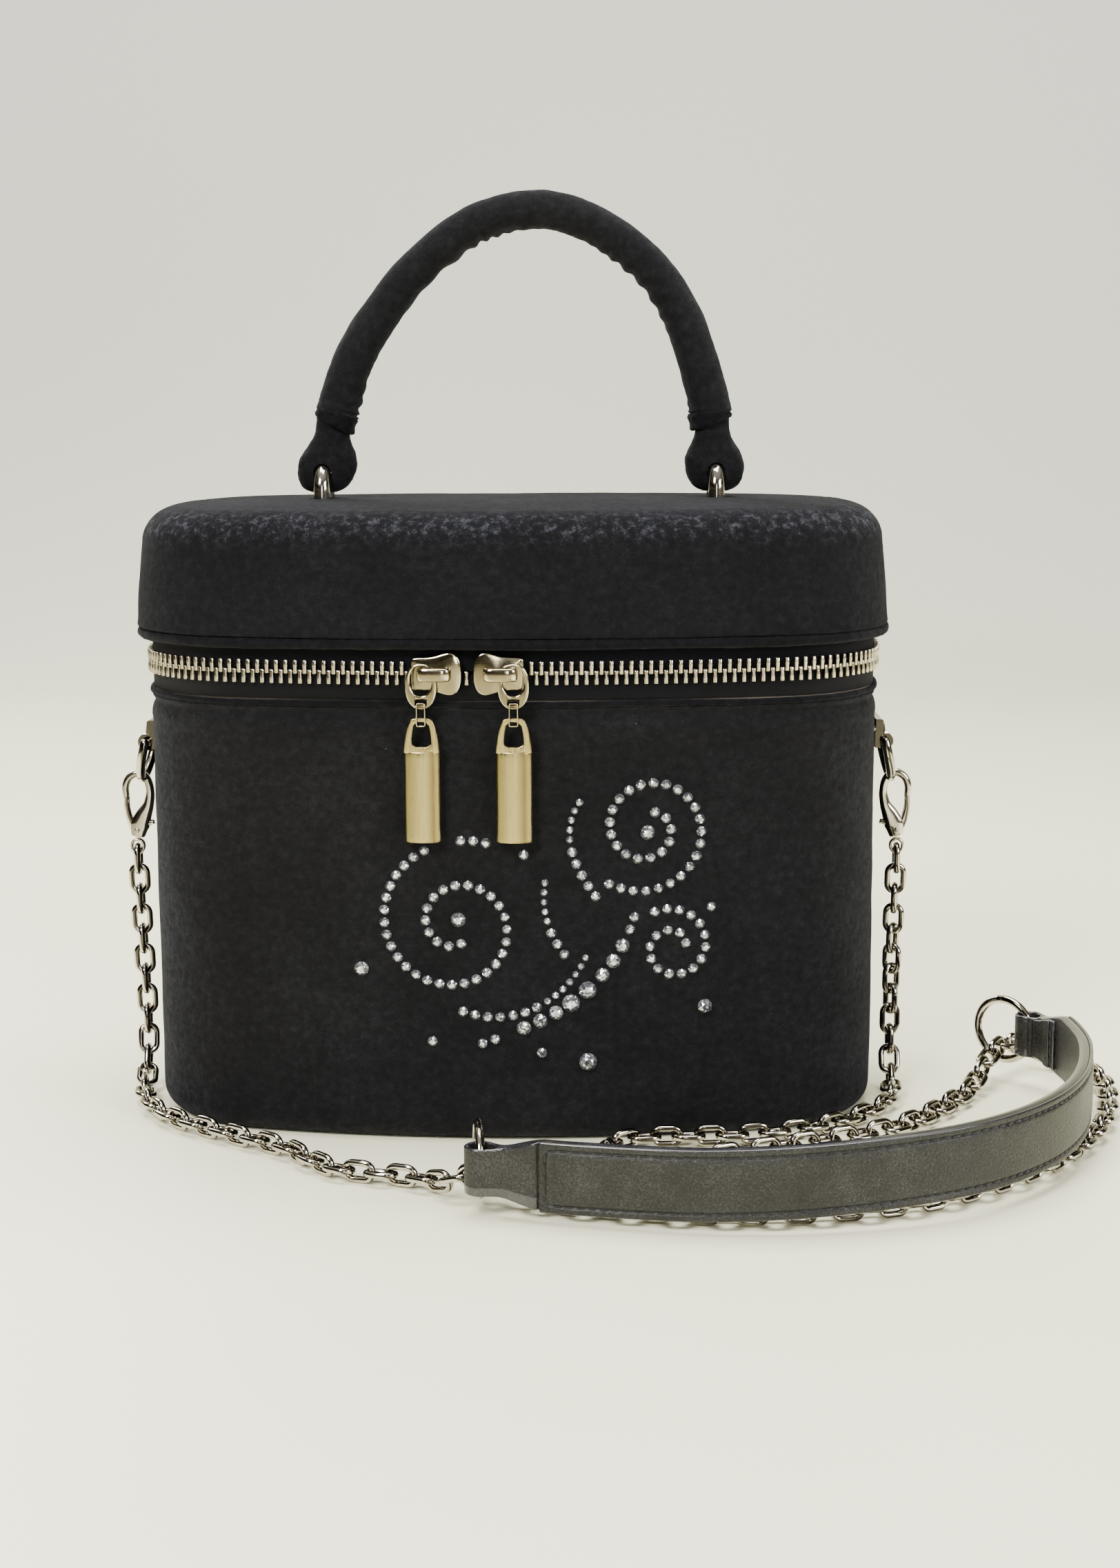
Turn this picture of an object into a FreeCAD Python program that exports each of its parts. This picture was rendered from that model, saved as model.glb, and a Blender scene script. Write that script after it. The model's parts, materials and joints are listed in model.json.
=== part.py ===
import FreeCAD, Part
import math, os
from FreeCAD import Vector, Matrix, Placement, Rotation

# Rigid velvet vanity-style handbag: oval box body, hinged lid closed by a two-slider metal zip,
# padded top handle on two staples, side D-rings, and a detachable chain strap with a shoulder
# pad.  Millimetres.  +Z up, the front faces -Y, +X is the right-hand side seen from the front,
# origin at the centre of the underside.
#
# Plan shapes are drawn from one outline, grown or shrunk by an "offset" (outwards positive).

os.makedirs("parts", exist_ok=True)

# ------------------------------------------------------------ main sizes
HALF_W, HALF_D = 99.0, 55.0                      # body half width and half depth
R_FRONT, R_CORNER, R_SIDE = 300.0, 36.0, 110.0   # arc radii of the plan outline
COVER_T = 1.2            # velvet and backing
BOARD_T = 2.45           # stiff board
LINING_T = 0.8
GAP = 0.05               # clearance between layers
BASE_FILLET = 6.0
BODY_TOP = 114.9         # top edge of the body cover
BOARD_TOP = 118.0
BASE_BOARD_TOP, BASE_LINING_TOP = 3.5, 4.3
ZIP_Z = 124.0            # zip centre line
LID_Z0, LID_Z1 = 133.05, 166.0
SLIDERS = (("left", -17.6, 1), ("right", -1.9, -1))   # name, x, X direction of the wide end

# ------------------------------------------------------------ plan outline
def solve_outline():
    """Angles at which the front, corner and side arcs meet tangentially (Newton's method)."""
    front_gap, side_gap = R_FRONT - R_CORNER, R_SIDE - R_CORNER
    front, side = 0.24, 0.16
    for _ in range(60):
        miss_x = front_gap * math.sin(front) - (HALF_W - R_SIDE) - side_gap * -math.cos(side) * -1
        miss_y = -HALF_D + R_FRONT - front_gap * math.cos(front) + -side_gap * -math.sin(side)
        a11, a12 = front_gap * math.cos(front), side_gap * math.sin(side)
        a21, a22 = front_gap * math.sin(front), side_gap * math.cos(side)
        det = a11 * a22 - a12 * a21
        front_step = (miss_x * a22 - miss_y * a12) / det
        side_step = (a11 * miss_y - a21 * miss_x) / det
        front, side = front - front_step, side - side_step
        if abs(front_step) + abs(side_step) < 1e-14:
            break
    return front, side


FRONT_ANGLE, SIDE_ANGLE = solve_outline()     # half angles of the front and side arcs
QUARTER = math.pi / 2
FRONT_CY = -HALF_D + R_FRONT                  # y of the front arc's centre
CORNER_X = (R_FRONT - R_CORNER) * math.sin(FRONT_ANGLE)
CORNER_Y = FRONT_CY - (R_FRONT - R_CORNER) * math.cos(FRONT_ANGLE)
SIDE_CX = HALF_W - R_SIDE

# centre, radius, start angle, end angle; anticlockwise from the left end of the front arc
ARCS = [
    ((0, FRONT_CY), R_FRONT, -QUARTER - FRONT_ANGLE, -QUARTER + FRONT_ANGLE),
    ((CORNER_X, CORNER_Y), R_CORNER, -QUARTER + FRONT_ANGLE, -SIDE_ANGLE),
    ((SIDE_CX, 0), R_SIDE, -SIDE_ANGLE, SIDE_ANGLE),
    ((CORNER_X, -CORNER_Y), R_CORNER, SIDE_ANGLE, QUARTER - FRONT_ANGLE),
    ((0, -FRONT_CY), R_FRONT, QUARTER - FRONT_ANGLE, QUARTER + FRONT_ANGLE),
    ((-CORNER_X, -CORNER_Y), R_CORNER, QUARTER + FRONT_ANGLE, math.pi - SIDE_ANGLE),
    ((-SIDE_CX, 0), R_SIDE, math.pi - SIDE_ANGLE, math.pi + SIDE_ANGLE),
    ((-CORNER_X, CORNER_Y), R_CORNER, math.pi + SIDE_ANGLE, math.pi + QUARTER - FRONT_ANGLE),
]


def arc_edge(centre, radius, start, end, z):
    points = [Vector(centre[0] + radius * math.cos(a), centre[1] + radius * math.sin(a), z)
              for a in (start, (start + end) / 2, end)]
    return Part.Arc(*points).toShape()


def outline(offset, z):
    return Part.Wire([arc_edge(c, r + offset, start, end, z) for c, r, start, end in ARCS])


def front_point(angle, z=0):
    """Point on the front arc, angle in radians from its middle towards +X."""
    return Vector(R_FRONT * math.sin(angle), FRONT_CY - R_FRONT * math.cos(angle), z)


# ------------------------------------------------------------ shape helpers
def plate(offset, z0, z1):
    return Part.Face(outline(offset, z0)).extrude(Vector(0, 0, z1 - z0))


def ring(outer, inner, z0, z1):
    return plate(outer, z0, z1).cut(plate(inner, z0 - 1, z1 + 1))


def box(x0, x1, y0, y1, z0, z1):
    return Part.makeBox(x1 - x0, y1 - y0, z1 - z0, Vector(x0, y0, z0))


def front_box(x0, x1, out0, out1, z0, z1):
    """Box whose depth runs from out0 to out1 towards -Y."""
    return box(x0, x1, -out1, -out0, z0, z1)


def plate_xz(points, out0, out1):
    """Polygon of (x, z) points, with its depth running from out0 to out1 towards -Y."""
    corners = [Vector(x, -out1, z) for x, z in points]
    face = Part.Face(Part.makePolygon(corners + [corners[0]]))
    return face.extrude(Vector(0, out1 - out0, 0))


def rod_y(x, z, radius, y0, y1):
    return Part.makeCylinder(radius, y1 - y0, Vector(x, y0, z), Vector(0, 1, 0))


def mirror_x(shape):
    return shape.mirror(Vector(0, 0, 0), Vector(1, 0, 0))


def start_circle(edge, radius):
    """Circle square to an edge at its start."""
    start = edge.FirstParameter
    return Part.Wire(Part.makeCircle(radius, edge.valueAt(start), edge.tangentAt(start)))


def round_sweep(path, radius):
    """Round wire or cord along a path wire."""
    return path.makePipeShell([start_circle(path.Edges[0], radius)], True, True)


def spline(points):
    curve = Part.BSplineCurve()
    curve.interpolate([Vector(*p) for p in points])
    return curve


def fillet_bottom(solid, radius, z):
    return solid.makeFillet(radius, [e for e in solid.Edges if e.BoundBox.ZMax < z + 0.01])


def save(name, shapes):
    if not isinstance(shapes, (list, tuple)):
        shapes = [shapes]
    solids = [solid for shape in shapes for solid in shape.Solids]
    assert solids, name
    for solid in solids:
        assert solid.isValid() and solid.Volume > 0, name
    shape = solids[0] if len(solids) == 1 else Part.makeCompound(solids)
    shape.exportStep("parts/%s.step" % name)


# ------------------------------------------------------------ side keeper fixings
SCREW_Y = (-5.0, 5.0)
SCREW_Z = 102.6
SCREW_R, SCREW_HOLE_R = 0.84, 0.9


def side_rod(radius, length, x, y, direction=1):
    """Cylinder along X at screw height."""
    return Part.makeCylinder(radius, length, Vector(x, y, SCREW_Z), Vector(direction, 0, 0))


# ------------------------------------------------------------ body
BASE_PANEL = -12.0       # offset of the opening that the base cover fills
BOARD_OUT = -COVER_T - GAP
BOARD_IN = BOARD_OUT - BOARD_T
LINING_OUT = BOARD_IN - GAP
LINING_IN = LINING_OUT - LINING_T
INNER_FILLET = BASE_FILLET - COVER_T


def body_cover():
    outer = fillet_bottom(plate(0, 0.0, BODY_TOP), BASE_FILLET, 0.0)
    inner = fillet_bottom(plate(-COVER_T, COVER_T, BODY_TOP + 5), INNER_FILLET, COVER_T)
    cover = outer.cut(inner).cut(plate(BASE_PANEL, -1, COVER_T + 1))
    for y in SCREW_Y:
        for side in (-1, 1):
            cover = cover.cut(side_rod(SCREW_HOLE_R, 14, 92 * side, y, side))
    return cover


def body_shell(blank):
    shell = blank.cut(plate(BOARD_IN, -1, BOARD_TOP + 1))
    for x in (-102, 90):
        for y in SCREW_Y:
            shell = shell.cut(side_rod(SCREW_HOLE_R, 12, x, y))
    return shell


def body_lining():
    lining = ring(LINING_OUT, LINING_IN, BASE_LINING_TOP + GAP, BOARD_TOP - 0.4)
    # openings for the backing plates behind the keepers
    for x0, x1 in ((-96, -90), (90, 96)):
        lining = lining.cut(box(x0, x1, -8.4, 8.4, 98.2, 107.0))
    return lining


def slip_pocket():
    """Flat pocket against the back of the lining."""
    half_w, z0, z1 = 48, 42.0, 92.0
    pocket = ring(LINING_IN - 0.1, LINING_IN - 0.9, z0, z1)
    return pocket.common(box(-half_w, half_w, 20, 60, z0, z1))


board_blank = fillet_bottom(plate(BOARD_OUT, COVER_T + GAP, BOARD_TOP), INNER_FILLET,
                            COVER_T + GAP)
save("body_cover", body_cover())
save("base_cover", plate(BASE_PANEL - 0.1, 0.0, COVER_T))
save("body_shell", body_shell(board_blank))
save("base_board", plate(LINING_OUT, COVER_T + GAP, BASE_BOARD_TOP).common(board_blank))
save("base_lining", plate(LINING_OUT, BASE_BOARD_TOP + GAP, BASE_LINING_TOP))
save("body_lining", body_lining())
save("slip_pocket", slip_pocket())
save("body_welt", round_sweep(outline(-0.4, 115.85), 0.78))

# ------------------------------------------------------------ zip tapes and hinge
TAPE_IN, TAPE_OUT = -1.2, -0.6    # plan offsets of the zip tape
TAPE_GAP_HALF = 46.0              # half width of the gap in the tapes at the back
HINGE_HALF = 44.0                 # half width of the cloth hinge


def back_box(half_w, z0, z1):
    return box(-half_w, half_w, 20, 70, z0, z1)


def zip_tape(z0, z1, cut_z0, cut_z1):
    return ring(TAPE_OUT, TAPE_IN, z0, z1).cut(back_box(TAPE_GAP_HALF, cut_z0, cut_z1))


save("zip_tape_lower", zip_tape(117.0, 123.5, 116, 124))
save("zip_tape_upper", zip_tape(124.5, 134.0, 124, 135))
save("hinge_gusset",
     ring(TAPE_OUT, TAPE_IN, 118.1, 129.5).common(back_box(HINGE_HALF, 118, 130)))

# ------------------------------------------------------------ zip teeth
TOOTH_PITCH = 2.54       # one side of a size 5 metal zip
TOOTH_W, TOOTH_H, TOOTH_D = 1.12, 3.55, 1.4
TOOTH_OFFSET = 0.15      # plan offset of the tooth rows
TOOTH_OVERLAP = 0.55     # each row reaches this far past the centre line
TOOTH_FREE_BACK = 47.0   # tooth-free length either side of the back centre
SLIDER_CLEAR = 6.4 + 0.9  # slider half length and a margin
STOP_W, STOP_D, STOP_H, STOP_Z = 2.0, 1.4, 3.2, 119.9


def tooth_path():
    """Arcs as (end length, start length, centre, radius, start angle) and the total length.
    Lengths run anticlockwise from the front centre, so the front arc is split in two."""
    centre, radius, start, end = ARCS[0]
    split = [(centre, radius, -QUARTER, end)] + ARCS[1:] + [(centre, radius, start, -QUARTER)]
    path, length = [], 0.0
    for centre, radius, start, end in split:
        radius += TOOTH_OFFSET
        arc_length = radius * (end - start)
        path.append((length + arc_length, length, centre, radius, start))
        length += arc_length
    return path, length


TOOTH_PATH, PATH_LENGTH = tooth_path()
TEETH_PER_SIDE = int((PATH_LENGTH / 2 - TOOTH_FREE_BACK) / TOOTH_PITCH)


def along_path(length):
    """Point on the tooth path and the turn in degrees that faces -Y outwards there."""
    length %= PATH_LENGTH
    for end_length, start_length, centre, radius, start in TOOTH_PATH:
        if length <= end_length + 1e-9:
            break
    angle = start + (length - start_length) / radius
    x_out, y_out = math.cos(angle), math.sin(angle)
    point = Vector(centre[0] + radius * x_out, centre[1] + radius * y_out, 0)
    return point, math.degrees(math.atan2(y_out, x_out)) + 90


def path_block(length, width, depth, height, z):
    point, turn = along_path(length)
    block = Part.makeBox(width, depth, height, Vector(-width / 2, -depth / 2, 0))
    block.Placement = Placement(Vector(point.x, point.y, z), Rotation(Vector(0, 0, 1), turn))
    return block, point


def in_slider(point):
    return point.y < 0 and any(abs(point.x - x) < SLIDER_CLEAR for _, x, _ in SLIDERS)


def tooth_row(shift, z):
    row = []
    for k in range(-TEETH_PER_SIDE, TEETH_PER_SIDE + 1):
        tooth, point = path_block(k * TOOTH_PITCH + shift, TOOTH_W, TOOTH_D, TOOTH_H, z)
        if not in_slider(point):
            row.append(tooth)
    return row


save("zip_teeth_lower", tooth_row(0, ZIP_Z + TOOTH_OVERLAP - TOOTH_H))
save("zip_teeth_upper", tooth_row(TOOTH_PITCH / 2, ZIP_Z - TOOTH_OVERLAP))
# a block at each back end of the rows
save("zip_end_stops",
     [path_block(side * (TEETH_PER_SIDE + 1.6) * TOOTH_PITCH, STOP_W, STOP_D, STOP_H, STOP_Z)[0]
      for side in (-1, 1)])

# ------------------------------------------------------------ side keepers and D-rings
# Drawn for the right-hand side; the left-hand ones are mirrored.
KEEPER_OUT = 101.3                         # outer face of the keeper
RING_BAR_X, RING_BAR_Z = 101.9, 99.3       # straight bar of the D-ring
D_WIRE_R = 1.25
D_HALF_W, D_DROP = 8.6, 11.2               # half width and drop of the wire's centre line
D_TILT = -12.0                             # the clasp draws the ring a little outwards


def keeper():
    k = box(HALF_W + 0.25, KEEPER_OUT, -8.0, 8.0, 97.4, 105.6)
    k = k.makeFillet(0.7, [e for e in k.Edges if abs(e.BoundBox.XMin - KEEPER_OUT) < 1e-6
                           and e.BoundBox.YLength > 5])
    k = k.fuse(rod_y(RING_BAR_X, RING_BAR_Z, 2.35, -6.0, 6.0))
    k = k.cut(rod_y(RING_BAR_X, RING_BAR_Z, D_WIRE_R + 0.12, -9, 9))
    k = k.cut(box(90, HALF_W + 0.2, -9, 9, 90, 110))
    # lower corners cleared for the bends of the ring
    k = k.cut(box(98, 106, 6.0, 9.0, 96.6, 102.0))
    k = k.cut(box(98, 106, -9.0, -6.0, 96.6, 102.0))
    for y in SCREW_Y:
        k = k.cut(side_rod(SCREW_HOLE_R, 12, 94, y))
        k = k.cut(side_rod(1.6, 6, KEEPER_OUT, y))
    return k


def d_ring():
    back_end = Vector(RING_BAR_X, D_HALF_W, RING_BAR_Z)
    front_end = Vector(RING_BAR_X, -D_HALF_W, RING_BAR_Z)
    low_point = Vector(RING_BAR_X, 0, RING_BAR_Z - D_DROP)
    bar = Part.LineSegment(front_end, back_end).toShape()
    bow = Part.Arc(back_end, low_point, front_end).toShape()
    shape = round_sweep(Part.Wire([bar]), D_WIRE_R).fuse(round_sweep(Part.Wire([bow]), D_WIRE_R))
    shape = shape.fuse(Part.makeSphere(D_WIRE_R, front_end))
    shape = shape.fuse(Part.makeSphere(D_WIRE_R, back_end))
    shape.rotate(Vector(RING_BAR_X, 0, RING_BAR_Z), Vector(0, 1, 0), D_TILT)
    return shape


def backing_plate():
    back = box(93.4, 94.25, -8.0, 8.0, 98.6, 106.6)
    for y in SCREW_Y:
        back = back.cut(side_rod(SCREW_HOLE_R, 14, 90, y))
    return back


def keeper_screw(y):
    head = Part.makeCone(SCREW_R, 1.5, 0.5, Vector(KEEPER_OUT + 0.05, y, SCREW_Z),
                         Vector(1, 0, 0))
    return side_rod(SCREW_R, 9.2, 92.2, y).fuse(head)


def keeper_nut(y):
    return side_rod(1.7, 1.0, 92.3, y).cut(side_rod(SCREW_HOLE_R, 5, 91, y))


def both_sides(shapes):
    return shapes + [mirror_x(s) for s in shapes]


# ------------------------------------------------------------ clasps
# (x, z) outlines for the right-hand side
CLASP_FRAME = [
    (109.9, 82.9), (110.35, 85.6), (109.0, 89.3), (105.6, 90.9), (102.4, 89.0), (101.2, 85.0),
    (101.5, 81.4), (102.9, 77.0), (104.0, 73.0), (104.3, 70.8), (104.3, 67.9), (106.3, 66.5),
    (108.3, 67.9), (108.6, 71.0), (108.9, 75.4), (106.3, 77.8), (104.2, 80.2), (103.4, 84.6),
    (104.4, 87.8), (105.8, 88.6), (107.6, 87.4), (108.3, 85.0), (108.0, 83.1)]
CLASP_LEVER = [
    (109.0, 82.4), (109.7, 82.3), (109.3, 77.5), (108.0, 73.6), (106.8, 72.2), (105.0, 72.6),
    (102.2, 74.6), (100.9, 75.4), (100.8, 76.4), (102.2, 76.8), (105.4, 75.6), (107.2, 77.6)]
LEVER_TIP = [(108.15, 82.5), (109.85, 82.5), (109.6, 79.2), (107.6, 79.2)]
PIVOT_X, PIVOT_Z = 106.4, 73.6
CLASP_HALF_T = 1.5


def clasp_frame():
    frame = plate_xz(CLASP_FRAME, -CLASP_HALF_T, CLASP_HALF_T)
    # thinned foot with the hole for the first chain link
    frame = frame.cut(box(100, 112, -3, -1.1, 60, 71.2)).cut(box(100, 112, 1.1, 3, 60, 71.2))
    frame = frame.cut(rod_y(106.3, 69.0, 1.3, -3, 3))
    # slot for the lever, and its pin
    frame = frame.cut(box(100.0, 112.0, -0.75, 0.75, 71.6, 78.6))
    return frame.fuse(rod_y(PIVOT_X, PIVOT_Z, 0.6, -CLASP_HALF_T, CLASP_HALF_T))


def clasp_lever():
    # the top of the arm is wider so that it closes the gate
    lever = plate_xz(CLASP_LEVER, -0.6, 0.6).fuse(plate_xz(LEVER_TIP, -1.3, 1.3))
    return lever.cut(rod_y(PIVOT_X, PIVOT_Z, 0.66, -3, 3))


for name, make in (("side_keeper", keeper), ("d_ring", d_ring),
                   ("clasp_frame", clasp_frame), ("clasp_lever", clasp_lever)):
    save(name + "_right", make())
    save(name + "_left", mirror_x(make()))
save("keeper_backing_plates", both_sides([backing_plate()]))
save("keeper_screws", both_sides([keeper_screw(y) for y in SCREW_Y]))
save("keeper_nuts", both_sides([keeper_nut(y) for y in SCREW_Y]))

# ------------------------------------------------------------ lid
# outer surface: z, plan offset, then the shares of a layer's depth by which an inner surface
# drops in z and moves in in plan
LID = [(LID_Z0, 3.1, 0.0, 1.0),
       (157.5, 0.9, 0.30, 1.0),
       (161.2, -1.2, 0.62, 0.85),
       (163.8, -5.8, 0.88, 0.55),
       (165.4, -15.0, 1.0, 0.20),
       (LID_Z1, -29.0, 1.0, 0.10)]
PIPE_R, PIPE_Z, PIPE_OFFSET = 1.5, 131.55, 1.9
LINING_DEPTH = COVER_T + 4.4          # depth of the lid lining's outer face
CEILING_Z = LID_Z1 - LINING_DEPTH
STAPLES = (("left", -51.8, -48.6), ("right", 55.2, 54.0))   # name, x, x of the tab's top
STAPLE_ZC, STAPLE_R, STAPLE_WIRE_R = 168.0, 6.0, 2.1
STAPLE_Y = (-STAPLE_R, STAPLE_R)
NUT_R, NUT_H, NUT_DROP = 3.3, 2.2, 3.35


def stack(sections):
    """Solid through plan outlines at (z, offset), with straight ruled walls."""
    return Part.makeLoft([outline(offset, z) for z, offset in sections], True, True)


def lid_inset(depth, z0=LID_Z0 - 1):
    """Solid bounded by the surface that lies a given depth inside the lid, from z0 up."""
    sections = [(z0, LID[0][1] - depth)]
    for z, offset, drop, move in LID[1:]:
        sections.append((z - drop * depth, offset - move * depth))
    return stack(sections)


def level_band(z0, z1):
    return box(-120, 120, -80, 80, z0, z1)


def staple_hole(x, y, length, z):
    return Part.makeCylinder(STAPLE_WIRE_R + 0.05, length, Vector(x, y, z))


def drill(shape):
    for _, x, _ in STAPLES:
        for y in STAPLE_Y:
            shape = shape.cut(staple_hole(x, y, 30, 145))
    return shape


def lid_foam():
    foam = lid_inset(COVER_T + 0.06).cut(lid_inset(COVER_T + 2.0))
    return foam.common(level_band(160.0, 170))


def lid_shell():
    wall = lid_inset(COVER_T + 0.06).cut(lid_inset(COVER_T + 2.3))
    wall = wall.common(level_band(LID_Z0, 159.0))
    top = lid_inset(COVER_T + 2.1).cut(lid_inset(COVER_T + 4.3, LID_Z0 - 2))
    top = top.common(level_band(158.0, 170)).common(lid_inset(COVER_T + 2.05))
    return wall.fuse(top).removeSplitter()


def lid_lining():
    lining = lid_inset(LINING_DEPTH, 131.0).cut(lid_inset(COVER_T + 5.2, 130.0))
    # openings for the staple plates
    for _, x, _ in STAPLES:
        lining = lining.cut(box(x - 6.4, x + 6.4, -11.4, 11.4, CEILING_Z - 3, CEILING_Z + 3))
    return lining


def staple_plate(x):
    shape = box(x - 6.0, x + 6.0, -11.0, 11.0, CEILING_Z - 1.1, CEILING_Z - 0.1)
    for y in STAPLE_Y:
        shape = shape.cut(staple_hole(x, y, 10, CEILING_Z - 5))
    return shape


def staple_nut(x, y):
    corners = [Vector(x + NUT_R * math.cos(math.radians(60 * i)),
                      y + NUT_R * math.sin(math.radians(60 * i)), CEILING_Z - NUT_DROP)
               for i in range(7)]
    nut = Part.Face(Part.makePolygon(corners)).extrude(Vector(0, 0, NUT_H))
    return nut.cut(staple_hole(x, y, 10, CEILING_Z - 7))


def handle_staple(x):
    arc = Part.Arc(Vector(x, -STAPLE_R, STAPLE_ZC), Vector(x, 0, STAPLE_ZC + STAPLE_R),
                   Vector(x, STAPLE_R, STAPLE_ZC)).toShape()
    staple = round_sweep(Part.Wire([arc]), STAPLE_WIRE_R)
    leg_z = CEILING_Z - 4.2
    for y in STAPLE_Y:
        staple = staple.fuse(
            Part.makeCylinder(STAPLE_WIRE_R, STAPLE_ZC - leg_z, Vector(x, y, leg_z)))
    return staple


lid_solid = stack([(z, offset) for z, offset, _, _ in LID])
save("lid_cover", drill(lid_solid.cut(lid_inset(COVER_T))))
save("lid_foam", drill(lid_foam()))
save("lid_shell", drill(lid_shell()))
save("lid_lining", drill(lid_lining()))
save("lid_piping", round_sweep(outline(PIPE_OFFSET, PIPE_Z), PIPE_R))
save("staple_plates", [staple_plate(x) for _, x, _ in STAPLES])
save("staple_nuts", [staple_nut(x, y) for _, x, _ in STAPLES for y in STAPLE_Y])

# ------------------------------------------------------------ handle
HANDLE_OD, CORE_D = 11.0, 7.0
# (x, z) stations of the handle's centre line, left to right
HANDLE = [
    (-48.2, 188.2), (-47.3, 191.0), (-45.3, 197.5), (-42.2, 205.1), (-36.0, 214.8),
    (-26.8, 226.2), (-14.1, 236.6), (-4.5, 241.0), (5.9, 242.7), (13.9, 241.9),
    (22.2, 238.6), (31.0, 233.0), (39.0, 225.6), (44.8, 216.6), (48.9, 207.0),
    (52.0, 196.4), (53.4, 190.6), (53.8, 188.2)]
# (y, z) section of the tabs, closed
TAB_SECTION = [
    (-4.0, 190), (-4.0, 170.8), (-3.0, 169.3), (-1.8, 168.35), (1.8, 168.35),
    (3.0, 169.3), (4.0, 170.8), (4.0, 190), (-4.0, 190)]


def handle_cover(edge):
    outer, inner = HANDLE_OD / 2, CORE_D / 2 + 0.2
    face = Part.Face([start_circle(edge, outer), start_circle(edge, inner)])
    # guards against the inner circle not being taken as a hole
    if not face.isValid() or face.Area > math.pi * (outer ** 2 - inner ** 2) * 1.01:
        disc, hole = (Part.Face(start_circle(edge, r)) for r in (outer, inner))
        face = disc.cut(hole).Faces[0]
    return Part.Wire([edge]).makePipe(face)


def handle_tab(x, top_x):
    """Tear-drop tab through which the staple wire runs, leaning to top_x."""
    mid_x = x + (top_x - x) * .5
    points = [(x - 3.0, 168.4), (x - 6.4, 169.8), (x - 8.0, 172.8), (x - 7.3, 176.6),
              (mid_x - 4.6, 181.6), (top_x - 4.6, 186.6),
              (top_x + 4.6, 186.6), (mid_x + 4.6, 181.6),
              (x + 7.3, 176.6), (x + 8.0, 172.8), (x + 6.4, 169.8), (x + 3.0, 168.4)]
    section = Part.Face(Part.makePolygon([Vector(x - 20, y, z) for y, z in TAB_SECTION]))
    tab = plate_xz(points, -4.0, 4.0).common(section.extrude(Vector(40, 0, 0)))
    return tab.cut(Part.makeTorus(STAPLE_R, STAPLE_WIRE_R + 0.3, Vector(x, 0, STAPLE_ZC),
                                  Vector(1, 0, 0)))


handle_edge = spline([(x, 0, z) for x, z in HANDLE]).toShape()
core_face = Part.Face(start_circle(handle_edge, CORE_D / 2))
save("handle_core", Part.Wire([handle_edge]).makePipe(core_face))
save("handle_cover", handle_cover(handle_edge))
for side_name, staple_x, top_x in STAPLES:
    save("handle_staple_" + side_name, handle_staple(staple_x))
    save("handle_tab_" + side_name, handle_tab(staple_x, top_x))

# ------------------------------------------------------------ sliders and pulls
# Drawn with x along the zip and -y outwards from the outline, then set on the front arc.
# (x, z from the zip's centre line), wide end at +x
SLIDER_LOWER = [(-6.4, -3.6), (-6.0, -4.2), (-1.0, -4.3), (1.6, -5.2),
                (3.6, -5.6), (5.2, -4.9), (6.2, -3.0), (6.4, 0)]
SLIDER_OUTLINE = SLIDER_LOWER + [(x, -z) for x, z in reversed(SLIDER_LOWER[:-1])]
SLIDER_CHANNEL = [(-9.0, -3.35), (-1.0, -3.35), (2.0, -4.2), (9.0, -4.2),
                  (9.0, 4.2), (2.0, 4.2), (-1.0, 3.35), (-9.0, 3.35)]
BRIDGE_OUT = 5.4
PULL_OUT = 3.3           # outward distance of the pull's mid plane
EYE_X = -3.8             # eye centre along the zip, towards the narrow end
EYE_POINTS = 32
BAR_HALF_W, BAR_Z0 = 4.62, 80.8
WEIGHT_H = 23.7
# (x from the bar's centre, z)
BAR_FRAME = [
    (-BAR_HALF_W, 81.2), (-4.2, BAR_Z0), (4.2, BAR_Z0), (BAR_HALF_W, 81.2),
    (BAR_HALF_W, 104.6), (3.9, 109.5), (3.0, 112.2), (2.2, 113.05),
    (-2.2, 113.05), (-3.0, 112.2), (-3.9, 109.5), (-BAR_HALF_W, 104.6)]
BAR_WINDOW = [(-2.5, 105.7), (2.5, 105.7), (2.4, 108.5),
              (1.75, 111.95), (-1.75, 111.95), (-2.4, 108.5)]


def place_on_front(shape, x):
    angle = math.asin(x / R_FRONT)
    placed = shape.copy()
    placed.Placement = Placement(front_point(angle),
                                 Rotation(Vector(0, 0, 1), math.degrees(angle)))
    return placed


def slider_profile(points, facing):
    profile = [(x * facing, z + ZIP_Z) for x, z in points]
    return profile if facing > 0 else profile[::-1]


def slider_bridge(facing):
    """Bridge over the pull's eye."""
    x0, x1 = sorted((-4.9 * facing, 3.9 * facing))
    z0, z1 = ZIP_Z - 1.7, ZIP_Z + 1.7
    bridge = plate_xz([(x0, z0), (x1, z0), (x1, z1), (x0, z1)], 2.25, BRIDGE_OUT)
    bridge = bridge.cut(front_box(x0 + 1.3, x1 - 1.3, 2.3, 4.2, ZIP_Z - 3, ZIP_Z + 3))
    edges = [e for e in bridge.Edges if abs(e.BoundBox.YMin + BRIDGE_OUT) < 1e-6
             and abs(e.BoundBox.YMax + BRIDGE_OUT) < 1e-6 and e.BoundBox.ZLength > 3]
    return bridge.makeFillet(1.2, edges)


def slider(facing):
    """Front body and rear plate of a slider; facing is the x direction of its wide end."""
    profile = slider_profile(SLIDER_OUTLINE, facing)
    front = plate_xz(profile, 1.15, 2.3)
    rear = plate_xz(profile, -2.25, -1.5)
    skirt = plate_xz(profile, -0.25, 1.2)
    skirt = skirt.cut(plate_xz(slider_profile(SLIDER_CHANNEL, facing), -1.0, 1.15))
    return front.fuse(skirt).fuse(slider_bridge(facing)), rear


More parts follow.
